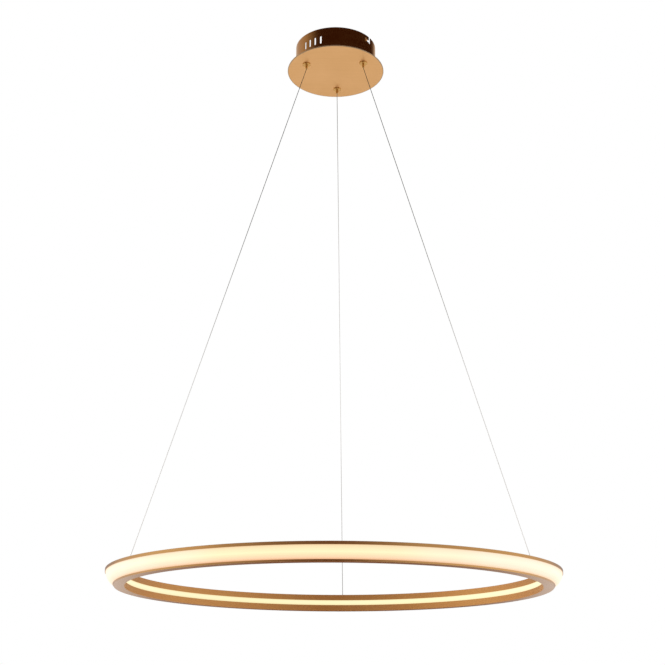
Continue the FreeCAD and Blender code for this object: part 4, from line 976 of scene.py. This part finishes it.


# a compression spring between the balls and the gripper's roof
def makeSpring(side, settings):
    nodeName = "gripper_spring_" + side
    low, high = (Vector(corner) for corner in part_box(nodeName))
    middle, half = (low + high) / 2, settings["wire"] / 2
    coilRadius = (high.y - low.y) / 2 - half
    deselectAll()
    bpy.ops.mesh.primitive_circle_add(vertices=settings["wireCorners"], radius=half,
                                      location=(coilRadius, 0, 0), rotation=(math.pi / 2, 0, 0))
    spring = bpy.context.active_object
    spring.name = spring.data.name = "gripperSpring" + side.capitalize()
    applyPlace(spring)
    coil = spring.modifiers.new("coil", "SCREW")
    coil.axis = "Z"
    coil.angle = math.tau * settings["turns"]
    coil.screw_offset = high.z - low.z - 2 * half
    coil.steps = coil.render_steps = int(settings["stepsPerTurn"] * settings["turns"])
    bpy.ops.object.modifier_apply(modifier=coil.name)
    editWhole(spring)
    bpy.ops.mesh.fill_holes(sides=settings["wireCorners"])
    pointOutwards()
    movePiece(spring, (middle.x, middle.y, low.z + half))
    smooth(spring, meshSettings["roundBelow"])
    fit(spring, bearingSteel, "canopy", nodeName)
    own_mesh(spring)


makeGrippers(gripSettings)
for side in sides:
    makeSpring(side, springSettings)
print("stage: grippers")


keptFinishes = {
    "ceiling_bracket": zincSteel, "plate_studs": zincSteel, "stud_nuts": zincSteel,
    "terminal_screws": zincSteel,
    "driver_case": casePlastic, "driver_lid": casePlastic, "driver_board": boardEpoxy,
    "driver_components": componentBlack, "terminal_block": blockNylon,
    "mains_leads": leadBrown, "earth_lead": leadGreen, "output_leads": leadWhite,
    "splices": spliceGrey,
    "gripper_nuts": nickelBrass, "bushing_nuts": nickelBrass, "contact_tags": nickelBrass,
    "outer_led_tape": tapeMask, "inner_led_tape": tapeMask,
    "outer_led_chips": phosphorCap, "inner_led_chips": phosphorCap,
}
for side in sides:
    keptFinishes["gripper_balls_" + side] = bearingSteel
    keptFinishes["wire_head_" + side] = keptFinishes["wire_foot_" + side] = sleeveOf(side)
for nodeName, material in keptFinishes.items():
    for holder in nodes[nodeName].material_slots:
        holder.material = material
print("stage: kept nodes finished")


studioSettings = {
    "floorZ": -2.4, "floorSize": 14, "floorColour": "#e4e4e2", "fadeStart": 1.5, "fadeEnd": 4.5,
    "fill": 0.62, "fillShare": 0.55,      # the even light, and its share on what isn't metal
    # the room's brightness by degrees round the object: 0 is at the viewer, 90 right, 180 behind
    "floor": ((-180, 1.0), (-130, 1.0), (-107, 0.78), (-74, 0.50), (-30, 0.16), (-5, 0.04),
              (15, 0.10), (39, 0.42), (75, 0.80), (110, 1.0), (180, 1.0)),
    "low": ((-180, 0.02), (-177, 0.06), (-175, 0.14), (-172, 0.24), (-170, 0.62), (-169, 0.84),
            (-158, 0.70), (-93, 0.80), (-54, 0.42), (-19, 0.20), (8, 0.16), (26, 0.36),
            (55, 0.80), (102, 1.0), (158, 0.70), (169, 0.82), (170, 0.58), (172, 0.22),
            (175, 0.10), (178, 0.04), (180, 0.02)),
    "level": ((-180, 0.06), (-176, 0.06), (-172, 0.24), (-169, 0.56), (-158, 0.36), (-142, 0.45),
              (-125, 0.78), (-93, 0.93), (-68, 0.83), (-50, 0.51), (-22, 0.22), (-5, 0.13),
              (8, 0.17), (26, 0.38), (42, 0.61), (55, 0.67), (102, 0.86), (125, 0.74),
              (142, 0.48), (158, 0.36), (169, 0.54), (172, 0.24), (176, 0.06), (180, 0.06)),
    "upper": ((-180, 0.85), (-160, 0.70), (-143, 0.60), (-116, 0.58), (-98, 0.49), (-80, 0.28),
              (-68, 0.14), (-58, 0.04), (-46, 0.0), (122, 0.0), (133, 0.06), (147, 0.40),
              (165, 0.80), (180, 0.85)),
    # each band's dark and bright, and the degrees up over which it takes over from the one below
    "bands": (("floor", "#552c00", "#ffffff", None), ("low", "#703d12", "#ffffff", (-27, -20)),
              ("level", "#5a2c00", "#ffffff", (-3, 1)), ("upper", "#3d2009", "#ffefdb", (21, 29))),
    "zenith": "#e6e6e6", "zenithEdge": (44, 68),
    "keyPower": 60, "keyPlace": (-2.6, -1.2, 1.4), "keyAim": (0, 0, -0.6), "keySize": 2.2,
}


# pale paper that fades to plain white far out, for the camera only
def makeFloor(settings):
    deselectAll()
    bpy.ops.mesh.primitive_plane_add(size=settings["floorSize"],
                                     location=(0, 0, settings["floorZ"]))
    floor = bpy.context.active_object
    floor.name = "studioFloor"
    applyPlace(floor)
    material, tree, shader = newMaterial("studioFloorPaper", Roughness=0.9, Specular_IOR_Level=0.1)
    shader.inputs["Base Color"].default_value = linearColour(settings["floorColour"])
    place = addNode(tree, "ShaderNodeTexCoord").outputs["Object"]
    span = {"Value": radiusOf(tree, place),
            "From Min": settings["fadeStart"], "From Max": settings["fadeEnd"]}
    fade = addNode(tree, "ShaderNodeMapRange", span, interpolation_type="SMOOTHSTEP").outputs[0]
    seen = addNode(tree, "ShaderNodeLightPath").outputs["Is Camera Ray"]
    white = addNode(tree, "ShaderNodeEmission", {"Color": (1, 1, 1, 1), "Strength": 1.0}).outputs[0]
    share = addNode(tree, "ShaderNodeMath", {0: fade, 1: seen}, operation="MULTIPLY").outputs[0]
    mixer = addNode(tree, "ShaderNodeMixShader", {0: share, 1: shader.outputs[0], 2: white})
    tree.links.new(mixer.outputs[0], tree.nodes["Material Output"].inputs["Surface"])
    floor.data.materials.append(material)
    floor.visible_glossy = False


# 0 below the first of two heights, 1 above the second; both in degrees above the horizon
def riseOf(tree, up, edge):
    low, high = (math.sin(math.radians(degrees)) for degrees in edge)
    return addNode(tree, "ShaderNodeMapRange", {"Value": up, "From Min": low, "From Max": high},
                   interpolation_type="SMOOTHSTEP").outputs[0]


# white to the camera; metal mirrors a room whose brightness changes round the object and upwards
def makeWorld(settings):
    world = bpy.data.worlds.new("studioWorld")
    bpy.context.scene.world = world
    world.use_nodes = True
    tree = world.node_tree
    back = tree.nodes["Background"]
    toward = addNode(tree, "ShaderNodeTexCoord").outputs["Generated"]
    x, y, z = addNode(tree, "ShaderNodeSeparateXYZ", {0: toward}).outputs
    front = addNode(tree, "ShaderNodeMath", {0: y, 1: -1.0}, operation="MULTIPLY").outputs[0]
    turn = addNode(tree, "ShaderNodeMath", {0: x, 1: front}, operation="ARCTAN2").outputs[0]
    share = rangeOf(tree, turn, 0, 1, -math.pi, math.pi)
    room = None
    for name, dark, bright, edge in settings["bands"]:
        stops = [((degrees + 180) / 360, level) for degrees, level in settings[name]]
        band = mixColours(tree, rampOf(tree, share, stops), linearColour(dark),
                          linearColour(bright))
        room = mixColours(tree, riseOf(tree, z, edge), room, band) if edge else band
    top = riseOf(tree, z, settings["zenithEdge"])
    room = mixColours(tree, top, room, linearColour(settings["zenith"]))
    path = addNode(tree, "ShaderNodeLightPath").outputs
    fill = settings["fill"]
    even = mixColours(tree, settings["fillShare"], room, (fill, fill, fill, 1))
    plain = mixColours(tree, path["Is Glossy Ray"], even, room)
    rays = {0: path["Is Camera Ray"], 1: path["Is Transmission Ray"]}
    seen = addNode(tree, "ShaderNodeMath", rays, operation="MAXIMUM").outputs[0]
    tree.links.new(mixColours(tree, seen, plain, (1, 1, 1, 1)), back.inputs["Color"])
    back.inputs["Strength"].default_value = 1.0


def makeKeyLight(settings):
    deselectAll()
    bpy.ops.object.light_add(type="AREA", location=settings["keyPlace"])
    key = bpy.context.active_object
    key.name = "keySoftbox"
    key.data.energy = settings["keyPower"]
    key.data.size = settings["keySize"]
    aim = Vector(settings["keyAim"]) - Vector(settings["keyPlace"])
    key.rotation_euler = aim.to_track_quat("-Z", "Y").to_euler()
    key.visible_glossy = False


makeFloor(studioSettings)
makeWorld(studioSettings)
makeKeyLight(studioSettings)
bpy.context.scene.view_settings.view_transform = "Standard"
print("stage: studio")
